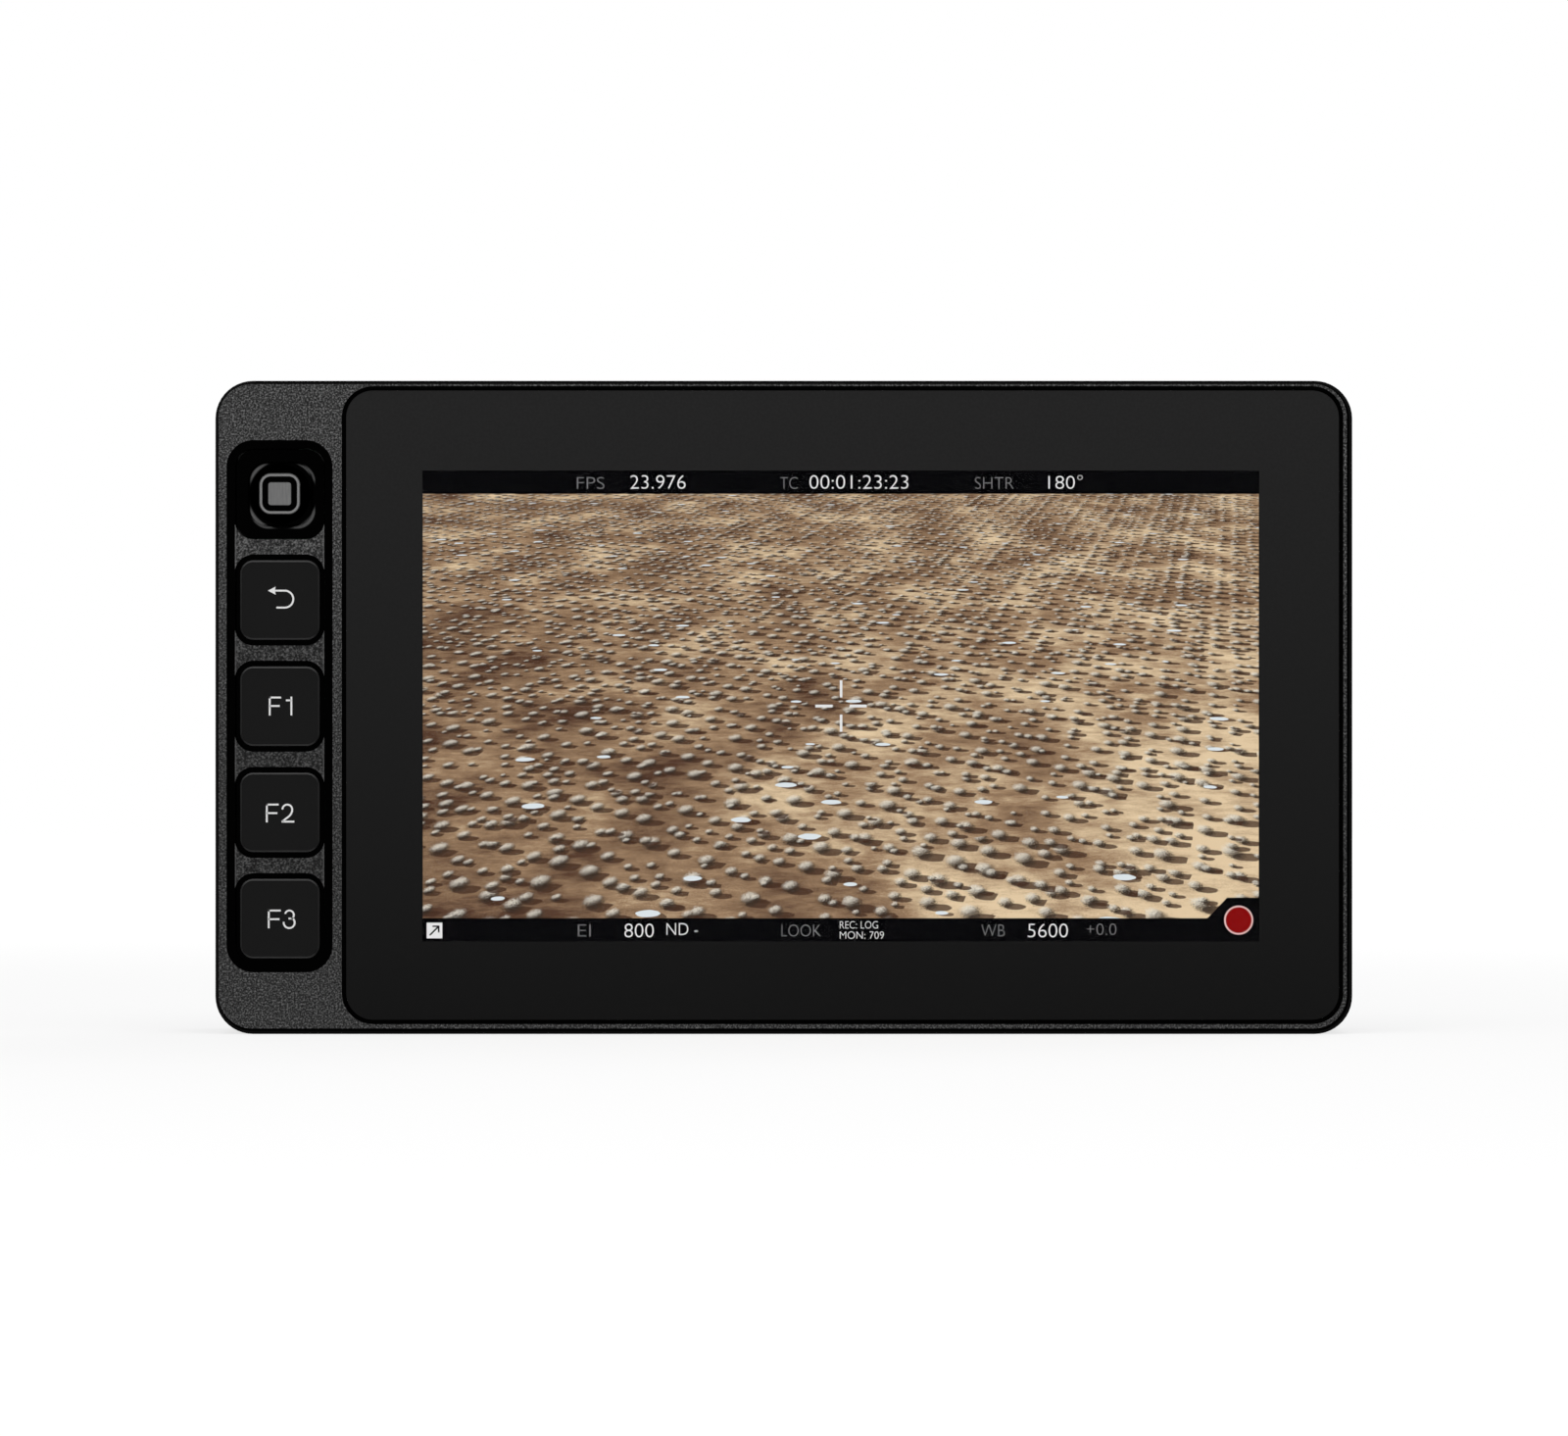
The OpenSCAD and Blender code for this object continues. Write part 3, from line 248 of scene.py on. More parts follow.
def coatFront():
    s = Shader("coatFront")
    tone, dull = coatGrain(s)
    x, y, z = s.axes()
    # painted shade: the face is painted a little darker below its middle, where less light falls on it
    high = s.calc("DIVIDE", s.calc("SUBTRACT", z, cadLow.z), cadHigh.z - cadLow.z)
    tone = s.shade(tone, s.ramp(high, *((spot, grey(share)) for spot, share in face["paintedShades"])))
    # painted highlight: bars between the keys end in a thin bright line, where their edges catch the light
    middle, half = keyColumn()
    reach = s.calc("ABSOLUTE", s.calc("SUBTRACT", x, middle.x))
    line = s.between(reach, face["lineIn"], face["lineOut"])
    highlightInTrough = s.calc("MULTIPLY", line, s.between(z, middle.z - half.z, middle.z + half.z))
    tone = s.mix(s.calc("MULTIPLY", highlightInTrough, face["lineHighlightShare"]), tone, grey(face["lineHighlightTone"]))
    # the lower bars get less light than the uppermost
    lowBars = s.calc("MULTIPLY", s.calc("LESS_THAN", reach, face["lineOut"]),
                     s.between(z, middle.z - half.z, middle.z + face["lowBars"] * half.z))
    tone = s.shade(tone, s.mix(lowBars, grey(1.0), grey(face["lowBarShade"])))
    # painted shade: trough, groove and bevel are painted black, the bevel's band a little wider at the
    # right and bottom
    inside = s.between(y, faceY + face["pocketStart"], faceY + face["pocketEnd"], 0.04 * mm)
    inside = s.calc("MULTIPLY", inside, s.calc("LESS_THAN", bodyOutline(s, x, z), -face["rim"]))
    nearEdge = s.calc("GREATER_THAN", bodyOutline(s, x, z, face["edgeShift"]), -face["edge"])
    edge = s.calc("MULTIPLY", nearEdge, s.calc("LESS_THAN", y, faceY + face["edgeDepth"]))
    s.paintShadeBlack(s.calc("MAXIMUM", inside, edge), tone, dull)
    return s.material


def keyColumn():
    boxes = [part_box(name) for name in ("key_f3", "joystick_bezel")]
    low = Vector((boxes[0][0].x, 0, boxes[0][0].z))
    high = Vector((boxes[0][1].x, 0, boxes[1][1].z))
    return (low + high) / 2, (high - low) / 2


seam = {"start": 17 * mm, "end": 17.35 * mm, "below": 0.05 * mm, "roughness": 0.9}


def coatRear():
    s = Shader("coatRear")
    tone, dull = coatGrain(s)
    x, y, z = s.axes()
    # the seam where the two halves of the body meet is black
    inSeam = s.calc("MULTIPLY", s.between(y, faceY + seam["start"], faceY + seam["end"]),
                    s.calc("LESS_THAN", bodyOutline(s, x, z), -seam["below"]))
    s.colour(s.mix(inSeam, tone, grey(voidTone)))
    s.rough(s.mix(inSeam, dull, grey(seam["roughness"])))
    return s.material


glass = {"ior": 1.08, "roughness": 0.04, "smear": 0.04, "smearScale": 45, "tint": 0.97,
         "printGrain": 2500, "borderTop": 0.0165, "borderBottom": 0.0058, "borderFleck": 0.008,
         "borderShine": 0.04}


def smears(s):
    return s.ramp(s.noise(glass["smearScale"], 4.0), (0.3, grey(glass["roughness"])),
                  (0.75, grey(glass["roughness"] + glass["smear"])))


def coverGlass():
    # anti-glare coating, so the glass hardly mirrors
    s = Shader("coverGlass")
    s.colour(grey(glass["tint"]))
    s.rough(smears(s))
    s.main.inputs["IOR"].default_value = glass["ior"]
    s.main.inputs["Transmission Weight"].default_value = 1.0
    return s.material


def blackBorder():
    # what the eye sees of the printed border through the glass: deep grey, with a painted reflection that
    # makes it paler towards the top
    s = Shader("blackBorder")
    x, y, z = s.axes()
    fine = s.noise(glass["printGrain"], 1.0)
    tone = s.ramp(s.calc("DIVIDE", s.calc("SUBTRACT", z, cadLow.z), cadHigh.z - cadLow.z),
                  (0.02, grey(glass["borderBottom"])), (0.97, grey(glass["borderTop"])))
    s.colour(s.mix(s.ramp(fine, (0.4, grey(0.0)), (0.6, grey(0.15))), tone, grey(glass["borderFleck"])))
    s.rough(smears(s))
    s.main.inputs["Specular IOR Level"].default_value = glass["borderShine"]
    return s.material


def clearFilm():
    s = Shader("clearFilm")
    s.colour((0.9, 0.95, 1.0))
    s.rough(0.1)
    s.main.inputs["Specular IOR Level"].default_value = 0.0
    s.main.inputs["Alpha"].default_value = 0.0
    return s.material


border = {"top": 0.024, "bottom": 0.0095, "fleck": 0.004}


def printedBorder():
    s = Shader("printedBorder")
    x, y, z = s.axes()
    fine = s.noise(glass["printGrain"], 1.0)
    # painted reflection: the print is painted paler towards the top, as if the glass in front caught more
    # light there
    tone = s.ramp(s.calc("DIVIDE", s.calc("SUBTRACT", z, cadLow.z), cadHigh.z - cadLow.z),
                  (0.0, grey(border["bottom"])), (0.95, grey(border["top"])))
    s.colour(s.mix(s.ramp(fine, (0.4, grey(0.0)), (0.6, grey(0.2))), tone, grey(border["fleck"])))
    s.rough(0.7)
    s.main.inputs["Specular IOR Level"].default_value = 0.0
    return s.material


def plastic(name, level, roughness, grain=0.12 * mm, depth=0.006 * mm, shine=0.4):
    s = Shader(name)
    fine = s.noise(1 / grain, 2.0)
    wide = s.noise(300, 2.0)
    low, high = level * 0.82, level * 1.2
    s.colour(s.mix(s.ramp(wide, (0.4, grey(0.0)), (0.6, grey(0.5))),
                   s.ramp(fine, (0.35, grey(low)), (0.65, grey(high))), grey(level)))
    s.rough(s.ramp(fine, (0.3, grey(roughness - 0.05)), (0.7, grey(roughness + 0.05))))
    s.main.inputs["Specular IOR Level"].default_value = shine
    s.bump(fine, depth, 0.5)
    return s.material


def metal(name, tone, roughness, brushed=(900, 60, 900), spread=0.06):
    s = Shader(name)
    stretch = s.add("ShaderNodeMapping")
    s.join(s.place, stretch.inputs["Vector"])
    stretch.inputs["Scale"].default_value = brushed
    lines = s.noise(8.0, 3.0, stretch.outputs[0])
    s.colour(s.ramp(lines, (0.3, tuple(t * 0.9 for t in tone)), (0.7, tone)))
    s.rough(s.ramp(lines, (0.3, grey(roughness)), (0.7, grey(roughness + spread))))
    s.main.inputs["Metallic"].default_value = 1.0
    s.bump(lines, 0.004 * mm, 0.4)
    return s.material


keyCap = {"width": 10.5 * mm, "face": 0.0035, "grain": 0.12 * mm, "depth": 0.004 * mm,
          "bevel": 0.22 * mm, "corner": 1.75 * mm, "side": 0.022, "crest": 0.105, "lowCrestGlint": 0.06,
          "buried": 0.5 * mm, "roughness": 0.45, "roughnessSpread": 0.05, "shine": 0.08}


def keyFinish():
    s = Shader("keyCap")
    x, y, z = s.axes()
    fine = s.noise(1 / keyCap["grain"], 2.0)
    low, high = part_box("key_f1")
    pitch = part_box("key_back")[0].z - low.z
    middle = (low + high) / 2
    # height above the middle of the nearest key
    steps = s.calc("DIVIDE", s.calc("SUBTRACT", z, middle.z), pitch)
    local = s.calc("MULTIPLY", s.calc("SUBTRACT", steps, s.calc("ROUND", steps)), pitch)
    half = keyCap["width"] / 2
    outside = s.outline(x, local, (middle.x, 0.0), (half, half), keyCap["corner"])
    rim = s.calc("GREATER_THAN", outside, -keyCap["bevel"])
    rim = s.calc("MULTIPLY", rim, s.calc("LESS_THAN", y, low.y + keyCap["bevel"]))
    up = s.calc("DIVIDE", local, half)
    # painted highlight: the bevelled rim is painted lighter than the face all round, brightest along its
    # upper edge and bright again along its lower edge
    top = s.ramp(up, (0.0, grey(keyCap["side"])), (0.8, grey(keyCap["side"] * 1.3)),
                 (0.97, grey(keyCap["crest"])))
    footGlint = s.ramp(s.calc("MULTIPLY", up, -1.0), (0.0, grey(keyCap["side"])), (0.85, grey(keyCap["side"])),
                  (0.97, grey(keyCap["lowCrestGlint"])))
    glint = s.mix(s.calc("LESS_THAN", up, 0.0), top, footGlint)
    flat = s.ramp(fine, (0.35, grey(keyCap["face"] * 0.8)), (0.65, grey(keyCap["face"] * 1.2)))
    dull = s.ramp(fine, (0.3, grey(keyCap["roughness"] - keyCap["roughnessSpread"])),
                  (0.7, grey(keyCap["roughness"] + keyCap["roughnessSpread"])))
    # painted shade: what lies deeper than the rim is painted black, for the shade of the gap round the key
    s.paintShadeBlack(s.calc("GREATER_THAN", y, low.y + keyCap["buried"]), s.mix(rim, flat, glint), dull)
    s.main.inputs["Specular IOR Level"].default_value = keyCap["shine"]
    s.bump(fine, keyCap["depth"], 0.5)
    return s.material


stick = {"dark": 0.03, "ringLight": 0.205, "padLight": 0.15, "fleck": 0.12, "toneDepth": 0.2 * mm,
         "pad": 1.8 * mm, "padLit": 1.47 * mm, "padSoft": 0.03 * mm, "corner": 1.55 * mm,
         "ringOuter": 0.11 * mm, "ringInner": 0.38 * mm, "roughness": 0.42, "shine": 0.2,
         "grain": 0.1 * mm, "lines": 0.2 * mm, "depth": 0.004 * mm}


def stickFinish():
    s = Shader("stickCap")
    x, y, z = s.axes()
    low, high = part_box("joystick_cap")
    fine = s.noise(1 / stick["grain"], 2.0)
    lines = s.noise(1 / stick["lines"], 2.0, s.vector(x, s.calc("MULTIPLY", z, 0.08)))
    raised = s.calc("LESS_THAN", y, low.y + stick["toneDepth"])
    centre, half = (low + high) / 2, (high - low) / 2
    reach = s.calc("MAXIMUM", s.calc("ABSOLUTE", s.calc("SUBTRACT", x, centre.x)),
                   s.calc("ABSOLUTE", s.calc("SUBTRACT", z, centre.z)))
    onPad = s.calc("LESS_THAN", reach, stick["pad"])
    pad = s.ramp(lines, (0.3, grey(stick["padLight"] * 0.82)), (0.7, grey(stick["padLight"] * 1.12)))
    outside = s.outline(x, z, (centre.x, centre.z), (half.x, half.z), stick["corner"])
    ring = s.between(outside, -stick["ringInner"], -stick["ringOuter"])
    padEnd = s.rise(reach, stick["padLit"] - stick["padSoft"], stick["padLit"] + stick["padSoft"])
    pad = s.mix(padEnd, pad, grey(stick["dark"]))
    bright = s.mix(onPad, s.mix(ring, grey(stick["dark"]), grey(stick["ringLight"])), pad)
    bright = s.mix(s.ramp(fine, (0.4, grey(0.0)), (0.65, grey(0.25))), bright, grey(stick["fleck"]))
    # painted shade: below its top face the cap is painted deep black, for the shade in its groove and along
    # its sides
    s.paintShadeBlack(s.calc("SUBTRACT", 1.0, raised), bright, grey(stick["roughness"]))
    s.main.inputs["Specular IOR Level"].default_value = stick["shine"]
    s.bump(fine, stick["depth"], 0.5)
    return s.material


# painted highlight: the light caught between a dark disc and a rounded square, both a little off the
# joystick's middle
dish = {"right": 0.3 * mm, "down": 0.27 * mm, "discUp": 0.16 * mm, "from": 4.4 * mm, "peak": 4.8 * mm,
        "half": 4.2 * mm, "corner": 2.3 * mm, "soft": 0.18 * mm, "tone": 0.12, "roughness": 0.6}


def dishFinish():
    # painted deep black for the shade in the dish, with painted highlights where the dish's rim catches
    # light at its four corners
    s = Shader("dishBlack")
    x, y, z = s.axes()
    low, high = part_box("joystick_cap")
    centreX = (low.x + high.x) / 2 + dish["right"]
    centreZ = (low.z + high.z) / 2 - dish["down"]
    side = s.calc("SUBTRACT", x, centreX)
    up = s.calc("SUBTRACT", z, centreZ + dish["discUp"])
    radius = s.length(side, up)
    square = s.outline(x, z, (centreX, centreZ), (dish["half"], dish["half"]), dish["corner"])
    glow = s.calc("MULTIPLY", s.rise(radius, dish["from"], dish["peak"]),
                  s.rise(square, dish["soft"], -dish["soft"]))
    s.paintShadeBlack(s.calc("SUBTRACT", 1.0, glow), grey(dish["tone"]), grey(dish["roughness"]))
    s.main.inputs["Specular IOR Level"].default_value = 0.0
    return s.material


insert = {"pitch": 1.27 * mm, "bore": 2.6 * mm, "slack": 0.05 * mm, "depth": 0.4 * mm,
          "root": 0.12, "crest": 0.5}


def threadedSteel():
    # the thread is a helical ridge in the bore, about the inserts' shared axis
    s = Shader("threadedSteel")
    x, y, z = s.axes()
    low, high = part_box("top_insert")
    middle = (low + high) / 2
    across, back = s.calc("SUBTRACT", x, middle.x), s.calc("SUBTRACT", y, middle.y)
    radius = s.length(across, back)
    turn = s.calc("DIVIDE", s.calc("ARCTAN2", back, across), 2 * math.pi)
    climb = s.calc("FRACT", s.calc("ADD", s.calc("DIVIDE", z, insert["pitch"]), turn))
    ridge = s.calc("ABSOLUTE", s.calc("SUBTRACT", climb, 0.5))
    inBore = s.calc("LESS_THAN", radius, insert["bore"] + insert["slack"])
    fine = s.noise(4000, 2.0)
    # painted shade: the thread's roots are painted darker than its crests
    shaded = s.ramp(ridge, (0.0, grey(insert["root"])), (0.5, grey(insert["crest"])))
    s.colour(s.mix(inBore, s.ramp(fine, (0.35, grey(0.5)), (0.65, grey(0.6))), shaded))
    s.rough(s.ramp(fine, (0.3, grey(0.3)), (0.7, grey(0.38))))
    s.main.inputs["Metallic"].default_value = 1.0
    s.bump(s.calc("MULTIPLY", ridge, inBore), insert["depth"], 1.0)
    return s.material


# how thick and wide each socket's tongue is, and how far apart its contacts lie
tongues = {"video": (1.2 * mm, 12 * mm, 1.0 * mm), "data": (0.7 * mm, 6.4 * mm, 0.5 * mm),
           "slack": 0.05 * mm, "skin": 0.03 * mm, "gold": (0.83, 0.62, 0.3), "black": 0.012,
           "steelDark": (0.5, 0.5, 0.51), "steelPale": (0.62, 0.62, 0.64)}


def socketFinish(name, node, kind):
    # steel shell, black tongue, and gold contacts on its two faces
    tongueT, tongueW, pitch = tongues[kind]
    s = Shader(name)
    x, y, z = s.axes()
    low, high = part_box(node)
    middle = (low + high) / 2
    off = s.calc("ABSOLUTE", s.calc("SUBTRACT", y, middle.y))
    along = s.calc("SUBTRACT", z, middle.z)
    tongue = s.calc("MULTIPLY", s.calc("LESS_THAN", off, tongueT / 2 + tongues["slack"]),
                    s.calc("LESS_THAN", s.calc("ABSOLUTE", along), tongueW / 2 + tongues["slack"]))
    stripe = s.calc("LESS_THAN", s.calc("FRACT", s.calc("DIVIDE", along, pitch)), 0.5)
    flat = s.calc("GREATER_THAN", off, tongueT / 2 - tongues["skin"])
    gold = s.calc("MULTIPLY", s.calc("MULTIPLY", stripe, flat), tongue)
    fine = s.noise(3000, 2.0)
    steel = s.ramp(fine, (0.35, tongues["steelDark"]), (0.65, tongues["steelPale"]))
    s.colour(s.mix(gold, s.mix(tongue, steel, grey(tongues["black"])), tongues["gold"]))
    s.rough(s.mix(tongue, s.ramp(fine, (0.3, grey(0.3)), (0.7, grey(0.4))), grey(0.5)))
    s.join(s.calc("MAXIMUM", s.calc("SUBTRACT", 1.0, tongue), gold), s.main.inputs["Metallic"])
    return s.material


board = {"scale": 400, "mask": (16, 72, 44), "maskDark": (12, 62, 38), "trace": (26, 92, 58),
         "roughness": 0.35}


def circuitBoard():
    s = Shader("circuitBoard")
    x, y, z = s.axes()
    flat = s.vector(x, z)
    traces = s.add("ShaderNodeTexBrick")
    s.join(flat, traces.inputs["Vector"])
    traces.inputs["Scale"].default_value = board["scale"]
    traces.inputs["Color1"].default_value = (*fromScreen(*board["mask"]), 1)
    traces.inputs["Color2"].default_value = (*fromScreen(*board["maskDark"]), 1)
    traces.inputs["Mortar"].default_value = (*fromScreen(*board["trace"]), 1)
    s.colour(traces.outputs[0])
    s.rough(board["roughness"])
    return s.material


def ink(name, tone, glow=0.0):
    s = Shader(name)
    fibre = s.noise(4000, 1.0)
    s.main.inputs["Specular IOR Level"].default_value = 0.0 if glow else 0.2
    varied = s.mix(s.ramp(fibre, (0.4, grey(0.0)), (0.6, grey(0.12))), tone, tuple(t * 0.9 for t in tone))
    s.rough(0.6)
    if glow:
        s.colour(grey(voidTone))
        s.join(varied, s.main.inputs["Emission Color"])
        s.main.inputs["Emission Strength"].default_value = glow
    else:
        s.colour(varied)
    return s.material


# the lit picture is a dry plain with rows of shrubs, seen in perspective
picture = {
    "topBar": 503.5, "bottomBar": 937.0, "horizon": 1.45, "turn": 0.42, "acrossScale": 34.0,
    "awayScale": 36.0, "bar": (2, 2, 3), "sandPale": (228, 203, 166), "sandMid": (156, 127, 98),
    "sandDeep": (84, 58, 44), "shadow": (70, 46, 34), "leaf": (52, 43, 36), "sunlit": (238, 232, 218),
    "stone": (222, 230, 234), "duneScale": 0.22, "rippleScale": 2.2, "grainScale": 20,
    "twigScale": 26, "duneShare": 0.9, "rippleShare": 0.55, "grainShare": 0.35, "leanShare": 0.36,
    # cell scale, jitter, shift and share left bare
    "shrubs": ((1.0, 0.3, 0.0, 0.05), (1.35, 0.6, 4.1, 0.5)), "stones": (0.42, 0.9, 7.3, 0.72),
    "skin": 0.05 * mm, "strength": 1.0}


def screenPicture():
    s = Shader("screenPicture")
    x, y, z = s.axes()
    u = s.calc("DIVIDE", s.calc("SUBTRACT", x, screenLow.x), screenHigh.x - screenLow.x)
    barTop, barBottom = atPixel(0, picture["topBar"])[1], atPixel(0, picture["bottomBar"])[1]
    v = s.calc("DIVIDE", s.calc("SUBTRACT", z, barBottom), barTop - barBottom)

    # a point of the plain, seen in perspective
    away = s.calc("DIVIDE", 1.0, s.calc("SUBTRACT", picture["horizon"], v))
    across = s.calc("MULTIPLY", s.calc("SUBTRACT", u, 0.5), away)
    gx = s.calc("MULTIPLY", across, picture["acrossScale"])
    gy = s.calc("MULTIPLY", away, picture["awayScale"])
    c, d = math.cos(picture["turn"]), math.sin(picture["turn"])
    rx = s.calc("SUBTRACT", s.calc("MULTIPLY", gx, c), s.calc("MULTIPLY", gy, d))
    ry = s.calc("ADD", s.calc("MULTIPLY", gx, d), s.calc("MULTIPLY", gy, c))
    ground = s.vector(gx, gy)

    dunes = s.noise(picture["duneScale"], 4.0, ground, 0.55)
    ripples = s.noise(picture["rippleScale"], 5.0, s.vector(s.calc("MULTIPLY", gx, 0.3), gy), 0.75)
    grains = s.noise(picture["grainScale"], 4.0, ground, 0.8)
    twigs = s.noise(picture["twigScale"], 2.0, ground, 0.9)
    tone = s.calc("ADD", s.calc("MULTIPLY", dunes, picture["duneShare"]),
                  s.calc("MULTIPLY", ripples, picture["rippleShare"]))
    tone = s.calc("ADD", tone, s.calc("MULTIPLY", grains, picture["grainShare"]))
    # paler towards the lower right
    lean = s.calc("MULTIPLY", s.calc("SUBTRACT", u, 0.46), s.calc("SUBTRACT", 1.05, v))
    tone = s.calc("ADD", tone, s.calc("MULTIPLY", lean, picture["leanShare"]))
    sand = s.ramp(s.calc("MULTIPLY", tone, 0.56), (0.38, fromScreen(*picture["sandDeep"])),
                  (0.5, fromScreen(*picture["sandMid"])), (0.62, fromScreen(*picture["sandPale"])))

    def plants(scale, jitter, shift):
        cells = s.add("ShaderNodeTexVoronoi", voronoi_dimensions="2D")
        cells.inputs["Randomness"].default_value = jitter
        cells.inputs["Scale"].default_value = scale
        moved = s.calc("ADD", rx, shift)
        s.join(s.vector(moved, ry), cells.inputs["Vector"])
        px, py, _ = s.axes(cells.outputs["Position"])
        lx = s.calc("MULTIPLY", s.calc("SUBTRACT", moved, px), scale)
        ly = s.calc("MULTIPLY", s.calc("SUBTRACT", ry, py), scale)
        right = s.calc("ADD", s.calc("MULTIPLY", lx, c), s.calc("MULTIPLY", ly, d))
        up = s.calc("SUBTRACT", s.calc("MULTIPLY", ly, c), s.calc("MULTIPLY", lx, d))
        chance, size, _ = s.axes(cells.outputs["Color"])
        grow = s.calc("ADD", 0.6, s.calc("MULTIPLY", size, 0.75))
        return s.calc("DIVIDE", right, grow), s.calc("DIVIDE", up, grow), chance

    def blob(right, up, middle, radii, rough, ragged):
        a = s.calc("DIVIDE", s.calc("SUBTRACT", right, middle[0]), radii[0])
        b = s.calc("DIVIDE", s.calc("SUBTRACT", up, middle[1]), radii[1])
        far = s.calc("ADD", s.calc("MULTIPLY", a, a), s.calc("MULTIPLY", b, b))
        torn = s.calc("MULTIPLY", s.calc("SUBTRACT", rough, 0.5), ragged)
        return s.calc("LESS_THAN", s.calc("ADD", far, torn), 1.0)

    painted = sand
    for *row, bare in picture["shrubs"]:
        right, up, chance = plants(*row)
        some = s.calc("GREATER_THAN", chance, bare)
        shade = s.calc("MULTIPLY", blob(right, up, (0.2, -0.06), (0.36, 0.15), grains, 1.6), some)
        painted = s.mix(s.calc("MULTIPLY", shade, 0.85), painted, fromScreen(*picture["shadow"]))
        bush = s.calc("MULTIPLY", blob(right, up, (-0.06, 0.12), (0.22, 0.24), twigs, 7.0), some)
        # twigs catch the sun on their left and upper side
        lit = s.calc("ADD", twigs, s.calc("MULTIPLY", up, 0.8))
        lit = s.calc("SUBTRACT", lit, s.calc("MULTIPLY", right, 0.5))
        foliage = s.mix(s.rise(lit, 0.6, 0.78), fromScreen(*picture["leaf"]),
                        fromScreen(*picture["sunlit"]))
        painted = s.mix(s.calc("MULTIPLY", bush, 0.92), painted, foliage)

    *row, bare = picture["stones"]
    right, up, chance = plants(*row)
    few = s.calc("GREATER_THAN", chance, bare)
    dark = s.calc("MULTIPLY", blob(right, up, (0.08, -0.04), (0.13, 0.05), ripples, 2.5), few)
    stone = s.calc("MULTIPLY", blob(right, up, (0, 0), (0.12, 0.05), ripples, 2.5), few)
    painted = s.mix(s.calc("MULTIPLY", dark, 0.8), painted, fromScreen(*picture["shadow"]))
    painted = s.mix(stone, painted, fromScreen(*picture["stone"]))

    onScreen = s.mix(s.between(z, barBottom, barTop), fromScreen(*picture["bar"]), painted)
    lit = s.calc("MULTIPLY", s.between(x, screenLow.x, screenHigh.x),
                 s.between(z, screenLow.z, screenHigh.z))
    onScreen = s.mix(s.calc("MULTIPLY", lit, s.calc("LESS_THAN", y, cellFront + picture["skin"])),
                     grey(voidTone), onScreen)
    s.colour(grey(voidTone))
    s.rough(0.6)
    s.main.inputs["Specular IOR Level"].default_value = 0.0
    s.join(onScreen, s.main.inputs["Emission Color"])
    s.main.inputs["Emission Strength"].default_value = picture["strength"]
    return s.material


finishes = {
    "coatFront": coatFront(),
    "coatRear": coatRear(),
    "coverGlass": coverGlass(),
    "blackBorder": blackBorder(),
    "clearFilm": clearFilm(),
    "printedBorder": printedBorder(),
    "screenPicture": screenPicture(),
    "gasketRubber": plastic("gasketRubber", 0.02, 0.8),
    "whiteFilm": plastic("whiteFilm", 0.75, 0.6),
    "keyCap": keyFinish(),
    "mouldedBlack": plastic("mouldedBlack", 0.012, 0.5, shine=0.3),
    "dishBlack": dishFinish(),
    "chipBlack": plastic("chipBlack", 0.03, 0.6),
    "thermalGrey": plastic("thermalGrey", 0.4, 0.8),
    "sheetMetal": metal("sheetMetal", (0.62, 0.62, 0.64), 0.4),
    "steel": metal("steel", (0.6, 0.6, 0.62), 0.3),
    "blackSteel": metal("blackSteel", (0.08, 0.08, 0.085), 0.35),
    "brass": metal("brass", (0.85, 0.65, 0.33), 0.25),
    "stickCap": stickFinish(),
    "circuitBoard": circuitBoard(),
    "threadedSteel": threadedSteel(),
    "videoInSteel": socketFinish("videoInSteel", "video_in_socket", "video"),
    "videoOutSteel": socketFinish("videoOutSteel", "video_out_socket", "video"),
    "dataSteel": socketFinish("dataSteel", "data_socket", "data"),
}

wearing = {
    "coatFront": ["front_housing"],
    "coatRear": ["rear_cover"],
    "coverGlass": ["cover_glass"],
    "clearFilm": ["bond_layer"],
    "printedBorder": ["border_mask"],
    "screenPicture": ["display_cell"],
    "gasketRubber": ["glass_gasket"],
    "whiteFilm": ["backlight"],
    "keyCap": ["key_back", "key_f1", "key_f2", "key_f3"],
    "mouldedBlack": ["power_button", "battery_plate", "battery_latch", "audio_socket", "power_socket",
                     "joystick_base"],
    "dishBlack": ["joystick_bezel"],
    "chipBlack": ["key_switches", "joystick_switch", "power_switch", "board_chips", "processor"],
    "thermalGrey": ["thermal_pad"],
    "sheetMetal": ["display_tray", "mid_frame"],
    "steel": ["frame_screws", "key_board_screws", "joystick_stem", "joystick_clip", "joystick_spring",
              "joystick_ring", "board_screws", "latch_spring"],
    "threadedSteel": ["bottom_insert", "top_insert"],
    "videoInSteel": ["video_in_socket"],
    "videoOutSteel": ["video_out_socket"],
    "dataSteel": ["data_socket"],
    "blackSteel": ["cover_screws", "plate_screws"],
    "brass": ["joystick_hub", "battery_contacts"],
    "stickCap": ["joystick_cap"],
    "circuitBoard": ["key_board", "main_board"],
}

for finishName, wearers in wearing.items():
    for wearer in wearers:
        nodes[wearer].data.materials.clear()
        nodes[wearer].data.materials.append(finishes[finishName])
print("finishes on", sum(len(w) for w in wearing.values()), "nodes")


def addPiece(name, shape, material, body):
    piece = bpy.data.objects.new(name, shape)
    bpy.context.scene.collection.objects.link(piece)
    piece.data.materials.clear()
    piece.data.materials.append(material)
    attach(piece, body)
    return piece


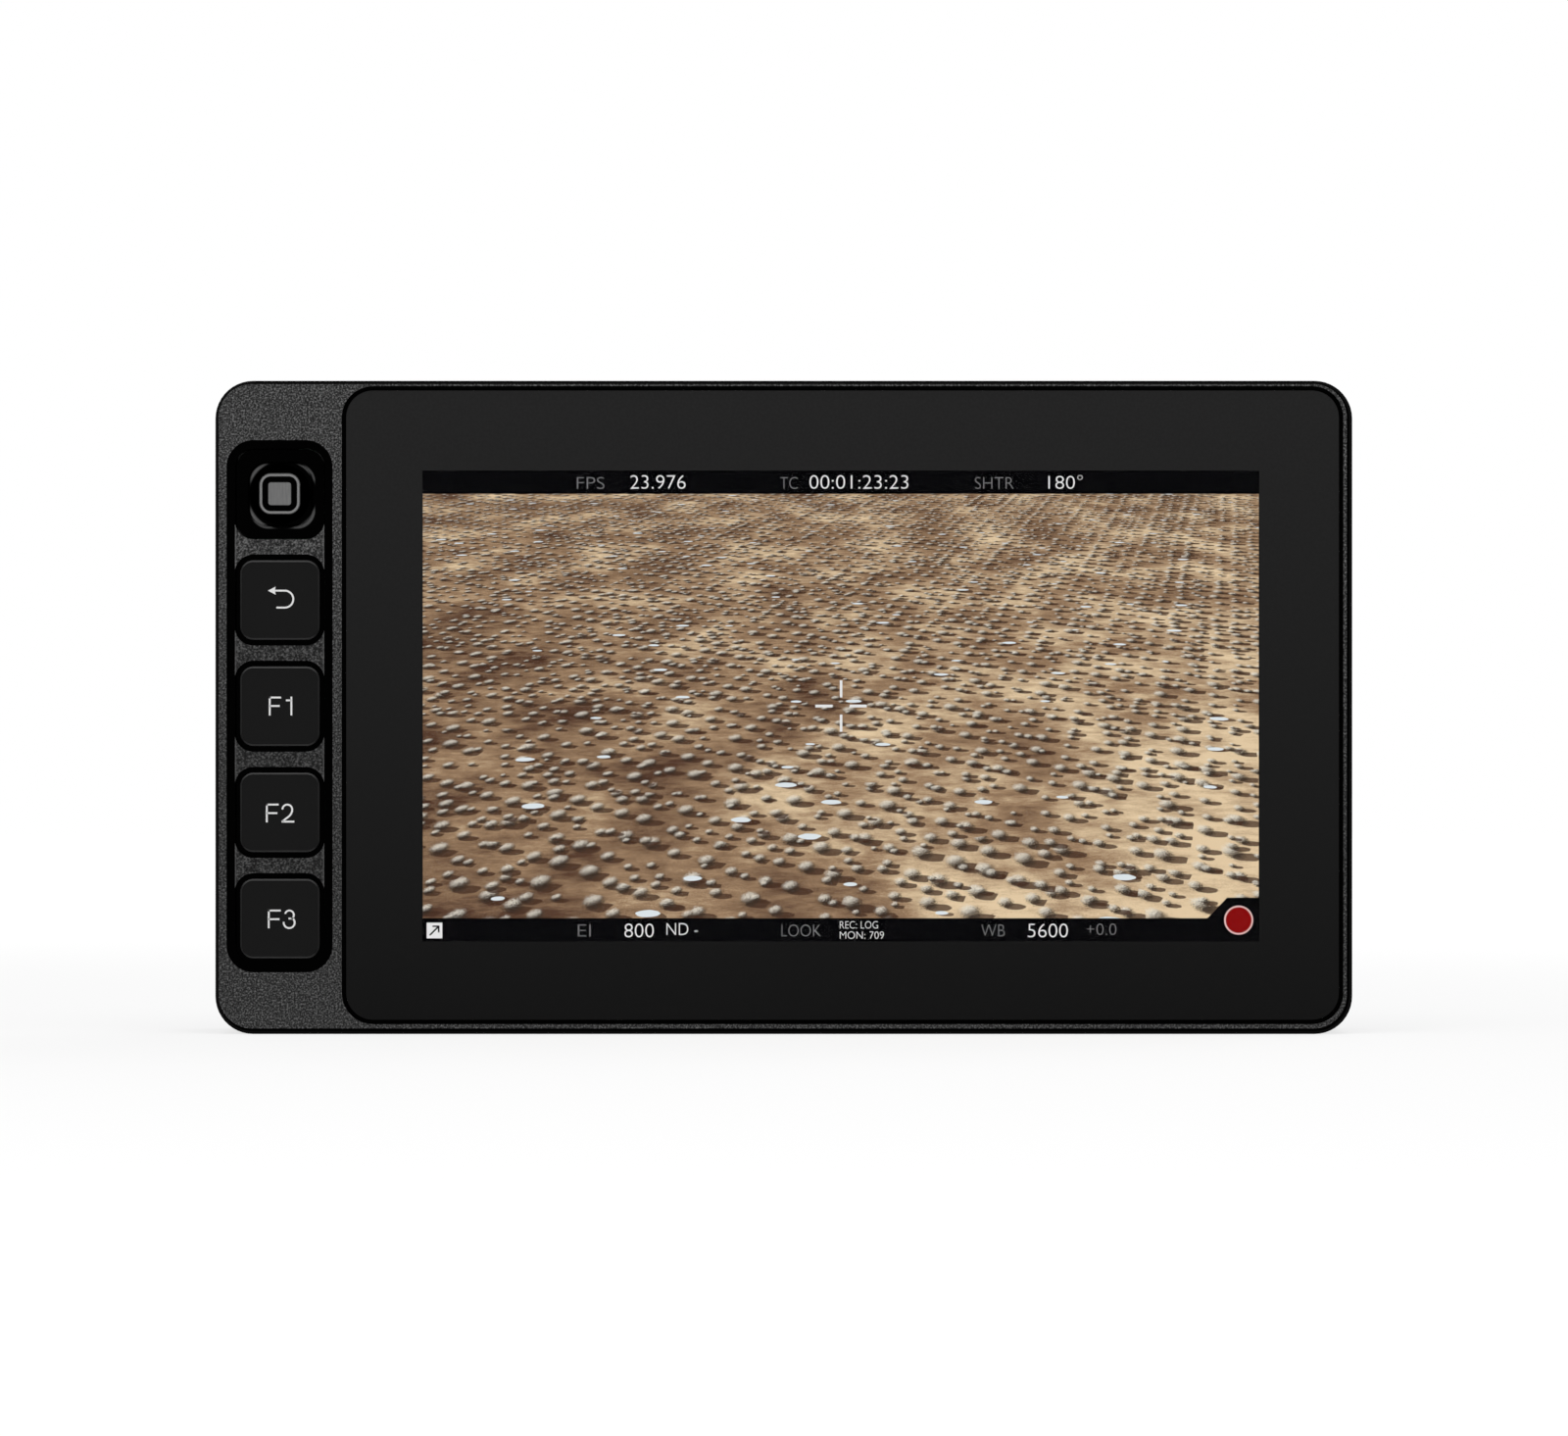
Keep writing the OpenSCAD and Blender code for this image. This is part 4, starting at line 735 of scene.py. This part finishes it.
def flatText(words, left, right, top, bottom, y, weight):
    # the words stretched into a box given in pixels of the front view
    curve = bpy.data.curves.new("words", "FONT")
    curve.body = words
    curve.offset = weight
    curve.resolution_u = 6
    holder = bpy.data.objects.new("words", curve)
    bpy.context.scene.collection.objects.link(holder)
    bpy.context.view_layer.update()
    shape = bpy.data.meshes.new_from_object(holder.evaluated_get(bpy.context.evaluated_depsgraph_get()))
    bpy.data.objects.remove(holder)
    xs = [v.co.x for v in shape.vertices]
    ys = [v.co.y for v in shape.vertices]
    x0, z0 = atPixel(left, bottom)
    x1, z1 = atPixel(right, top)
    for v in shape.vertices:
        share = (v.co.x - min(xs)) / (max(xs) - min(xs)), (v.co.y - min(ys)) / (max(ys) - min(ys))
        v.co = (x0 + share[0] * (x1 - x0), y, z0 + share[1] * (z1 - z0))
    return shape


def joined(name, shapes):
    bm = bmesh.new()
    for shape in shapes:
        bm.from_mesh(shape)
        bpy.data.meshes.remove(shape)
    for face in bm.faces:
        face.normal_update()
        if face.normal.y > 0:
            face.normal_flip()
    made = bpy.data.meshes.new(name)
    bm.to_mesh(made)
    bm.free()
    return made


def bar(left, top, right, bottom, y):
    # flat rectangle given in pixels of the front view
    bm = bmesh.new()
    x0, z0 = atPixel(left, bottom)
    x1, z1 = atPixel(right, top)
    bmesh.ops.create_grid(bm, x_segments=1, y_segments=1, size=0.5)
    bmesh.ops.rotate(bm, verts=bm.verts, matrix=Matrix.Rotation(math.radians(90), 3, "X"))
    bmesh.ops.scale(bm, verts=bm.verts, vec=(x1 - x0, 1, z1 - z0))
    bmesh.ops.translate(bm, verts=bm.verts, vec=((x0 + x1) / 2, y, (z0 + z1) / 2))
    made = bpy.data.meshes.new("bar")
    bm.to_mesh(made)
    bm.free()
    return made


def disc(px, py, radius, y, steps=48):
    bm = bmesh.new()
    x, z = atPixel(px, py)
    bmesh.ops.create_circle(bm, cap_ends=True, segments=steps, radius=radius * photo["mmPerPixel"] * mm)
    bmesh.ops.rotate(bm, verts=bm.verts, matrix=Matrix.Rotation(math.radians(90), 3, "X"))
    bmesh.ops.translate(bm, verts=bm.verts, vec=(x, y, z))
    made = bpy.data.meshes.new("disc")
    bm.to_mesh(made)
    bm.free()
    return made


# each box: left, right, top and bottom of the words, or left, top, right and bottom of a bar
readouts = {
    "labels": [("FPS", 588.5, 616.5, 486.5, 498.5), ("TC", 796, 814, 486.5, 498.5),
               ("SHTR", 995, 1034.5, 486.5, 498.5), ("EI", 589.5, 602.5, 943.5, 955.5),
               ("LOOK", 797.5, 837.5, 943.5, 955.5), ("WB", 1001.5, 1025.5, 943.5, 955.5),
               ("+0.0", 1109, 1139.5, 942.5, 954)],
    "values": [("23.976", 643, 699.5, 484.5, 498.5), ("00:01:23:23", 826, 927, 484.5, 498.5),
               ("180°", 1070, 1105, 484.5, 498.5), ("800", 637, 667, 942.5, 956.5),
               ("ND -", 680, 712, 942, 954), ("5600", 1049, 1090, 942.5, 956.5),
               ("REC: LOG", 857, 896, 940, 947.5), ("MON: 709", 857, 902, 950.5, 958)],
    "cross": [(832, 718.9, 849.5, 721.7), (867, 718.9, 884.5, 721.7), (857, 694, 859.6, 711.5),
              (857, 729, 859.6, 746.5)],
    "icon": (435, 941.5, 451, 957.5),
    "arrow": [((438.5, 954), (446.5, 946)), ((441.5, 945.2), (447.3, 945.2)),
              ((447.3, 945.2), (447.3, 951))],
    "arrowWidth": 1.6, "labelTone": (124, 124, 126), "valueTone": (232, 232, 232), "lift": 0.02 * mm,
    "labelWeight": -0.02, "valueWeight": -0.014}


def screenMarks():
    y = cellFront - readouts["lift"]
    greyMarks = [flatText(*label, y, readouts["labelWeight"]) for label in readouts["labels"]]
    whiteMarks = [flatText(*value, y, readouts["valueWeight"]) for value in readouts["values"]]
    # cross in the middle of the picture, and the corner icon
    for l, t, r, b in readouts["cross"] + [readouts["icon"]]:
        whiteMarks.append(bar(l, t, r, b, y))
    addPiece("screenLabels", joined("screenLabels", greyMarks),
             ink("labelLight", fromScreen(*readouts["labelTone"]), 1.0), "chassis")
    addPiece("screenValues", joined("screenValues", whiteMarks),
             ink("valueLight", fromScreen(*readouts["valueTone"]), 1.0), "chassis")


recordMark = {"centre": (1264.4, 938.9), "radius": 13.2, "ring": 14.9, "red": (134, 8, 9),
              "pale": (225, 190, 186), "tab": [(1232, 937.5), (1252.6, 916), (1285, 916), (1285, 937.5)],
              "ringLift": 0.01 * mm, "dotLift": 0.02 * mm}


def recordDot():
    y = cellFront - readouts["lift"]
    # dark tab under the dot, with its slanted left edge
    bm = bmesh.new()
    bm.faces.new([bm.verts.new((atPixel(*spot)[0], y, atPixel(*spot)[1])) for spot in recordMark["tab"]])
    tab = bpy.data.meshes.new("tab")
    bm.to_mesh(tab)
    bm.free()
    black = ink("tabDark", fromScreen(*picture["bar"]), 1.0)
    addPiece("recordTab", joined("recordTab", [tab]), black, "chassis")
    px, py = recordMark["centre"]
    ring = disc(px, py, recordMark["ring"], y - recordMark["ringLift"])
    addPiece("recordRing", joined("recordRing", [ring]),
             ink("ringLight", fromScreen(*recordMark["pale"]), 1.0), "chassis")
    dot = disc(px, py, recordMark["radius"], y - recordMark["dotLift"])
    addPiece("recordDot", joined("recordDot", [dot]),
             ink("dotRed", fromScreen(*recordMark["red"]), 1.0), "chassis")
    # arrow drawn dark on the corner icon
    lines = [stroke(a, b, readouts["arrowWidth"], y - recordMark["ringLift"])
             for a, b in readouts["arrow"]]
    addPiece("iconArrow", joined("iconArrow", lines), black, "chassis")


def stroke(start, end, width, y):
    bm = bmesh.new()
    x0, z0 = atPixel(*start)
    x1, z1 = atPixel(*end)
    length = math.hypot(x1 - x0, z1 - z0) + width * photo["mmPerPixel"] * mm * 0.6
    bmesh.ops.create_grid(bm, x_segments=1, y_segments=1, size=0.5)
    bmesh.ops.rotate(bm, verts=bm.verts, matrix=Matrix.Rotation(math.radians(90), 3, "X"))
    bmesh.ops.scale(bm, verts=bm.verts, vec=(length, 1, width * photo["mmPerPixel"] * mm))
    bmesh.ops.rotate(bm, verts=bm.verts, matrix=Matrix.Rotation(-math.atan2(z1 - z0, x1 - x0), 3, "Y"))
    bmesh.ops.translate(bm, verts=bm.verts, vec=((x0 + x1) / 2, y, (z0 + z1) / 2))
    made = bpy.data.meshes.new("stroke")
    bm.to_mesh(made)
    bm.free()
    return made


screenMarks()
recordDot()
print("screen marks drawn")


film = {"gap": 0.012 * mm, "bevel": 0.01 * mm}


def clearBond():
    # the clear bond between glass and display, a hair short of both so that no two faces coincide
    low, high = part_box("bond_layer")
    size = high - low - Vector((1, 1, 1)) * 2 * film["gap"]
    bm = bmesh.new()
    bmesh.ops.create_cube(bm, size=1.0)
    bmesh.ops.scale(bm, verts=bm.verts, vec=size)
    bmesh.ops.bevel(bm, geom=bm.edges[:], offset=film["bevel"], affect="EDGES", segments=1, profile=0.5,
                    material=-1)
    bmesh.ops.translate(bm, verts=bm.verts, vec=(low + high) / 2)
    shape = bpy.data.meshes.new("clearBond")
    bm.to_mesh(shape)
    bm.free()
    piece = addPiece("clearBond", shape, finishes["clearFilm"], "chassis")
    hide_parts("bond_layer")


plate = {"inset": 0.14 * mm, "corner": 3.56 * mm, "lift": 0.004 * mm}


def borderOverGlass():
    # a rounded plate on the glass, cut along the window's four edges and opened in the middle
    low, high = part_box("cover_glass")
    size = high - low - Vector((1, 0, 1)) * 2 * plate["inset"]
    y = low.y - plate["lift"]
    bm = bmesh.new()
    bmesh.ops.create_grid(bm, x_segments=1, y_segments=1, size=0.5)
    bmesh.ops.rotate(bm, verts=bm.verts, matrix=Matrix.Rotation(math.radians(90), 3, "X"))
    bmesh.ops.scale(bm, verts=bm.verts, vec=(size.x, 1, size.z))
    bmesh.ops.translate(bm, verts=bm.verts, vec=((low.x + high.x) / 2, y, (low.z + high.z) / 2))
    bmesh.ops.bevel(bm, geom=bm.verts[:], offset=plate["corner"], affect="VERTICES", segments=14,
                    profile=0.5, material=-1)
    for facing in ((1, 0, 0), (0, 0, 1)):
        for place in (screenLow, screenHigh):
            bmesh.ops.bisect_plane(bm, geom=bm.verts[:] + bm.edges[:] + bm.faces[:], plane_co=place,
                                   plane_no=facing)
    window = [f for f in bm.faces if screenLow.x < f.calc_center_median().x < screenHigh.x
              and screenLow.z < f.calc_center_median().z < screenHigh.z]
    bmesh.ops.delete(bm, geom=window, context="FACES")
    shape = bpy.data.meshes.new("borderOverGlass")
    bm.to_mesh(shape)
    bm.free()
    flat = joined("borderOverGlass", [shape])
    addPiece("borderOverGlass", flat, finishes["blackBorder"], "chassis")


clearBond()
borderOverGlass()


# each stroke: where the pen starts, its heading (0 right, 90 up), then straights (length, 0) and
# bends (radius, degrees to the left), in pixels of the front view
legends = {
    "tone": (226, 226, 226), "lift": 0.01 * mm, "stroke": 1.85,
    "legendF1": ("key_f1", "f1_key", [
        ((274.9, 729.9), 90, [(19.2, 0)]), ((274.0, 711.6), 0, [(12.5, 0)]),
        ((274.9, 720.2), 0, [(10.2, 0)]),
        ((297.0, 729.9), 90, [(19.2, 0)]), ((291.5, 714.5), 0, [(5.4, 0)])]),
    "legendF2": ("key_f2", "f2_key", [
        ((271.9, 839.1), 90, [(19.1, 0)]), ((271.0, 820.9), 0, [(13.0, 0)]),
        ((271.9, 829.6), 0, [(10.8, 0)]),
        ((287.9, 825.9), 90, [(4.97, -180), (9, -52), (8.3, 0)]), ((287.0, 838.3), 0, [(13.0, 0)])]),
    "legendF3": ("key_f3", "f3_key", [
        ((273.9, 947.1), 90, [(19.0, 0)]), ((273.0, 929.1), 0, [(13.2, 0)]),
        ((273.9, 937.9), 0, [(11.0, 0)]),
        ((290.65, 932.4), 75, [(4.5, -230)]), ((294.1, 937.2), 0, [(3.6, 0)]),
        ((297.4, 936.45), -28, [(5.6, -250)])]),
    "legendReturn": ("key_back", "back_key", [
        ((280.0, 602.5), 0, [(10.3, 0), (8.65, -180), (8.6, 0)])]),
    "arrowHead": [(273.0, 602.5), (281.1, 606.7), (280.0, 602.5), (281.1, 598.3)]}


def penStroke(bm, start, heading, moves, width, y):
    # a short edge across the path is pushed along the straights and spun round the bends
    unit = photo["mmPerPixel"] * mm
    x, z = atPixel(*start)
    spot = Vector((x, y, z))
    ahead = Matrix.Rotation(math.radians(-heading), 3, "Y") @ Vector((1, 0, 0))
    left = Matrix.Rotation(math.radians(-90), 3, "Y") @ ahead
    half = left * width * unit / 2
    front = [bm.edges.new([bm.verts.new(spot + half), bm.verts.new(spot - half)])]
    for size, bend in moves:
        if bend == 0:
            pushed = bmesh.ops.extrude_edge_only(bm, edges=front)["geom"]
            bmesh.ops.translate(bm, verts=[g for g in pushed if isinstance(g, bmesh.types.BMVert)],
                                vec=ahead * size * unit)
            spot = spot + ahead * size * unit
        else:
            hub = spot + left * size * unit * (1 if bend > 0 else -1)
            turn = Matrix.Rotation(math.radians(-bend), 3, "Y")
            pushed = bmesh.ops.spin(bm, geom=front, cent=hub, axis=(0, -1, 0), angle=math.radians(bend),
                                    steps=2 + int(abs(bend) / 10), use_merge=False)["geom_last"]
            spot = hub + turn @ (spot - hub)
            ahead, left = turn @ ahead, turn @ left
        front = [g for g in pushed if isinstance(g, bmesh.types.BMEdge)]


def keyLegends():
    white = ink("legendWhite", fromScreen(*legends["tone"]))
    for name in ("legendF1", "legendF2", "legendF3", "legendReturn"):
        node, body, strokes = legends[name]
        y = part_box(node)[0].y - legends["lift"]
        bm = bmesh.new()
        for start, heading, moves in strokes:
            penStroke(bm, start, heading, moves, legends["stroke"], y)
        if name == "legendReturn":
            bm.faces.new([bm.verts.new((atPixel(*p)[0], y, atPixel(*p)[1])) for p in legends["arrowHead"]])
        shape = bpy.data.meshes.new(name)
        bm.to_mesh(shape)
        bm.free()
        addPiece(name, joined(name, [shape]), white, body)


keyLegends()
print("key legends printed")


# for each coil: the node it stands for, what it rides on, its joint and that joint's travel,
# its wire and turns, and which of its ends is listed as fixed
springs = {
    "stickCoil": {"node": "joystick_spring", "body": "gimbal_hub", "joint": "joystick_press",
                  "wire": 0.3 * mm, "turns": 4, "fixed": "far", "travel": 0.25 * mm},
    "latchCoil": {"node": "latch_spring", "body": "chassis", "joint": "battery_latch_slide",
                  "wire": 0.5 * mm, "turns": 3, "fixed": "near", "travel": 1.6 * mm}}


def coilSprings():
    for name, spring in springs.items():
        low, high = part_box(spring["node"])
        middle = (low + high) / 2
        wire, turns = spring["wire"], spring["turns"]
        length = high.y - low.y
        steps = turns * 24
        bm = bmesh.new()
        bmesh.ops.create_circle(bm, cap_ends=False, segments=10, radius=wire / 2)
        bmesh.ops.translate(bm, verts=bm.verts,
                            vec=((high.x - low.x - wire) / 2 + middle.x, low.y + wire / 2, middle.z))
        bmesh.ops.spin(bm, geom=bm.verts[:] + bm.edges[:], cent=middle, axis=(0, 1, 0),
                       dvec=(0, (length - wire) / steps, 0), angle=2 * math.pi * turns, steps=steps,
                       use_merge=False)
        bmesh.ops.holes_fill(bm, edges=[e for e in bm.edges if e.is_boundary], sides=0)
        bmesh.ops.recalc_face_normals(bm, faces=bm.faces)
        for face in bm.faces:
            face.smooth = True
        shape = bpy.data.meshes.new(name)
        bm.to_mesh(shape)
        bm.free()
        piece = addPiece(name, shape, finishes["steel"], spring["body"])
        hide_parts(spring["node"])
        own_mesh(piece)


coilSprings()
print("springs wound")


def trimmedCover():
    # the screw pillars reach past the cover's rounded corners, so the shown cover is drawn in there
    shape = nodes["rear_cover"].data.copy()
    straightX = cadHigh.x - coat["corner"]
    straightZ = cadHigh.z - middleZ - coat["corner"]
    for vertex in shape.vertices:
        pastX, pastZ = abs(vertex.co.x) - straightX, abs(vertex.co.z - middleZ) - straightZ
        reach = math.hypot(pastX, pastZ)
        if min(pastX, pastZ) > 0 and reach > coat["corner"] + coat["cornerSlack"]:
            share = coat["corner"] / reach
            vertex.co.x = math.copysign(straightX + pastX * share, vertex.co.x)
            vertex.co.z = middleZ + math.copysign(straightZ + pastZ * share, vertex.co.z - middleZ)
    piece = addPiece("trimmedCover", shape, finishes["coatRear"], "chassis")
    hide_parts("rear_cover")


trimmedCover()
print("cover trimmed")


room = {"floorSize": 4.0, "floorTone": 0.8, "shown": 1.03, "shownShare": 0.72, "worldLight": 0.5,
        "shadeTo": 0.15, "whiteFrom": 0.7}


def whiteForEyes(tree):
    # 1 for rays that show the background: seen, mirrored or through glass
    path = tree.nodes.new("ShaderNodeLightPath")
    first = tree.nodes.new("ShaderNodeMath")
    first.operation = "MAXIMUM"
    tree.links.new(path.outputs["Is Camera Ray"], first.inputs[0])
    tree.links.new(path.outputs["Is Glossy Ray"], first.inputs[1])
    second = tree.nodes.new("ShaderNodeMath")
    second.operation = "MAXIMUM"
    tree.links.new(first.outputs[0], second.inputs[0])
    tree.links.new(path.outputs["Is Transmission Ray"], second.inputs[1])
    return second.outputs[0]


def makeRoom():
    bm = bmesh.new()
    bmesh.ops.create_grid(bm, x_segments=1, y_segments=1, size=room["floorSize"] / 2)
    shape = bpy.data.meshes.new("floor")
    bm.to_mesh(shape)
    bm.free()
    floor = bpy.data.objects.new("floor", shape)
    bpy.context.scene.collection.objects.link(floor)
    s = Shader("paleFloor")
    s.colour(grey(room["floorTone"]))
    s.rough(0.9)
    s.main.inputs["Specular IOR Level"].default_value = 0.0
    glow = s.add("ShaderNodeEmission")
    glow.inputs["Strength"].default_value = room["shown"]
    blend = s.add("ShaderNodeMixShader")
    # beyond the object's shadow the floor turns to the same white as the background
    x, y, z = s.axes()
    away = s.length(x, y)
    whiter = s.rise(away, room["shadeTo"], room["whiteFrom"])
    share = s.calc("ADD", room["shownShare"], s.calc("MULTIPLY", whiter, 1 - room["shownShare"]))
    s.join(s.calc("MULTIPLY", whiteForEyes(s.tree), share), blend.inputs[0])
    s.join(s.main.outputs[0], blend.inputs[1])
    s.join(glow.outputs[0], blend.inputs[2])
    s.join(blend.outputs[0], s.output.inputs["Surface"])
    floor.data.materials.append(s.material)

    world = bpy.data.worlds.new("studio")
    bpy.context.scene.world = world
    world.use_nodes = True
    tree = world.node_tree
    plain = tree.nodes["Background"]
    plain.inputs["Color"].default_value = (1, 1, 1, 1)
    plain.inputs["Strength"].default_value = room["worldLight"]
    shown = tree.nodes.new("ShaderNodeBackground")
    shown.inputs["Color"].default_value = (1, 1, 1, 1)
    shown.inputs["Strength"].default_value = 1.0
    mixed = tree.nodes.new("ShaderNodeMixShader")
    tree.links.new(whiteForEyes(tree), mixed.inputs[0])
    tree.links.new(plain.outputs[0], mixed.inputs[1])
    tree.links.new(shown.outputs[0], mixed.inputs[2])
    tree.links.new(mixed.outputs[0], tree.nodes["World Output"].inputs["Surface"])


lamps = {
    "topSoft": {"at": (0.0, -0.35, 0.75), "size": 0.7, "power": 3.4},
    "frontFill": {"at": (-0.5, -1.1, 0.35), "size": 0.8, "power": 2.4},
    "backRim": {"at": (0.35, 0.7, 0.55), "size": 0.6, "power": 2.2},
}


def makeLamps():
    target = (cadLow + cadHigh) / 2
    for name, lamp in lamps.items():
        light = bpy.data.lights.new(name, "AREA")
        light.size = lamp["size"]
        light.energy = lamp["power"]
        holder = bpy.data.objects.new(name, light)
        holder.location = lamp["at"]
        holder.rotation_euler = (target - holder.location).to_track_quat("-Z", "Y").to_euler()
        bpy.context.scene.collection.objects.link(holder)


shot = {"imageWide": 1600, "imageHigh": 1465, "distance": 1.2, "sensor": 36.0}


def makeCamera():
    wide = shot["imageWide"] * photo["mmPerPixel"] * mm
    x, z = atPixel(shot["imageWide"] / 2, shot["imageHigh"] / 2)
    camera = bpy.data.cameras.new("frontView")
    camera.sensor_width = shot["sensor"]
    camera.lens = shot["sensor"] * shot["distance"] / wide
    camera.clip_start, camera.clip_end = 0.05, 20
    holder = bpy.data.objects.new("frontView", camera)
    holder.location = (x, faceY - shot["distance"], z)
    holder.rotation_euler = (math.radians(90), 0, 0)
    bpy.context.scene.collection.objects.link(holder)
    bpy.context.scene.camera = holder


makeRoom()
makeLamps()
makeCamera()
bpy.context.scene.view_settings.view_transform = "Standard"
print("room, lamps and camera ready")
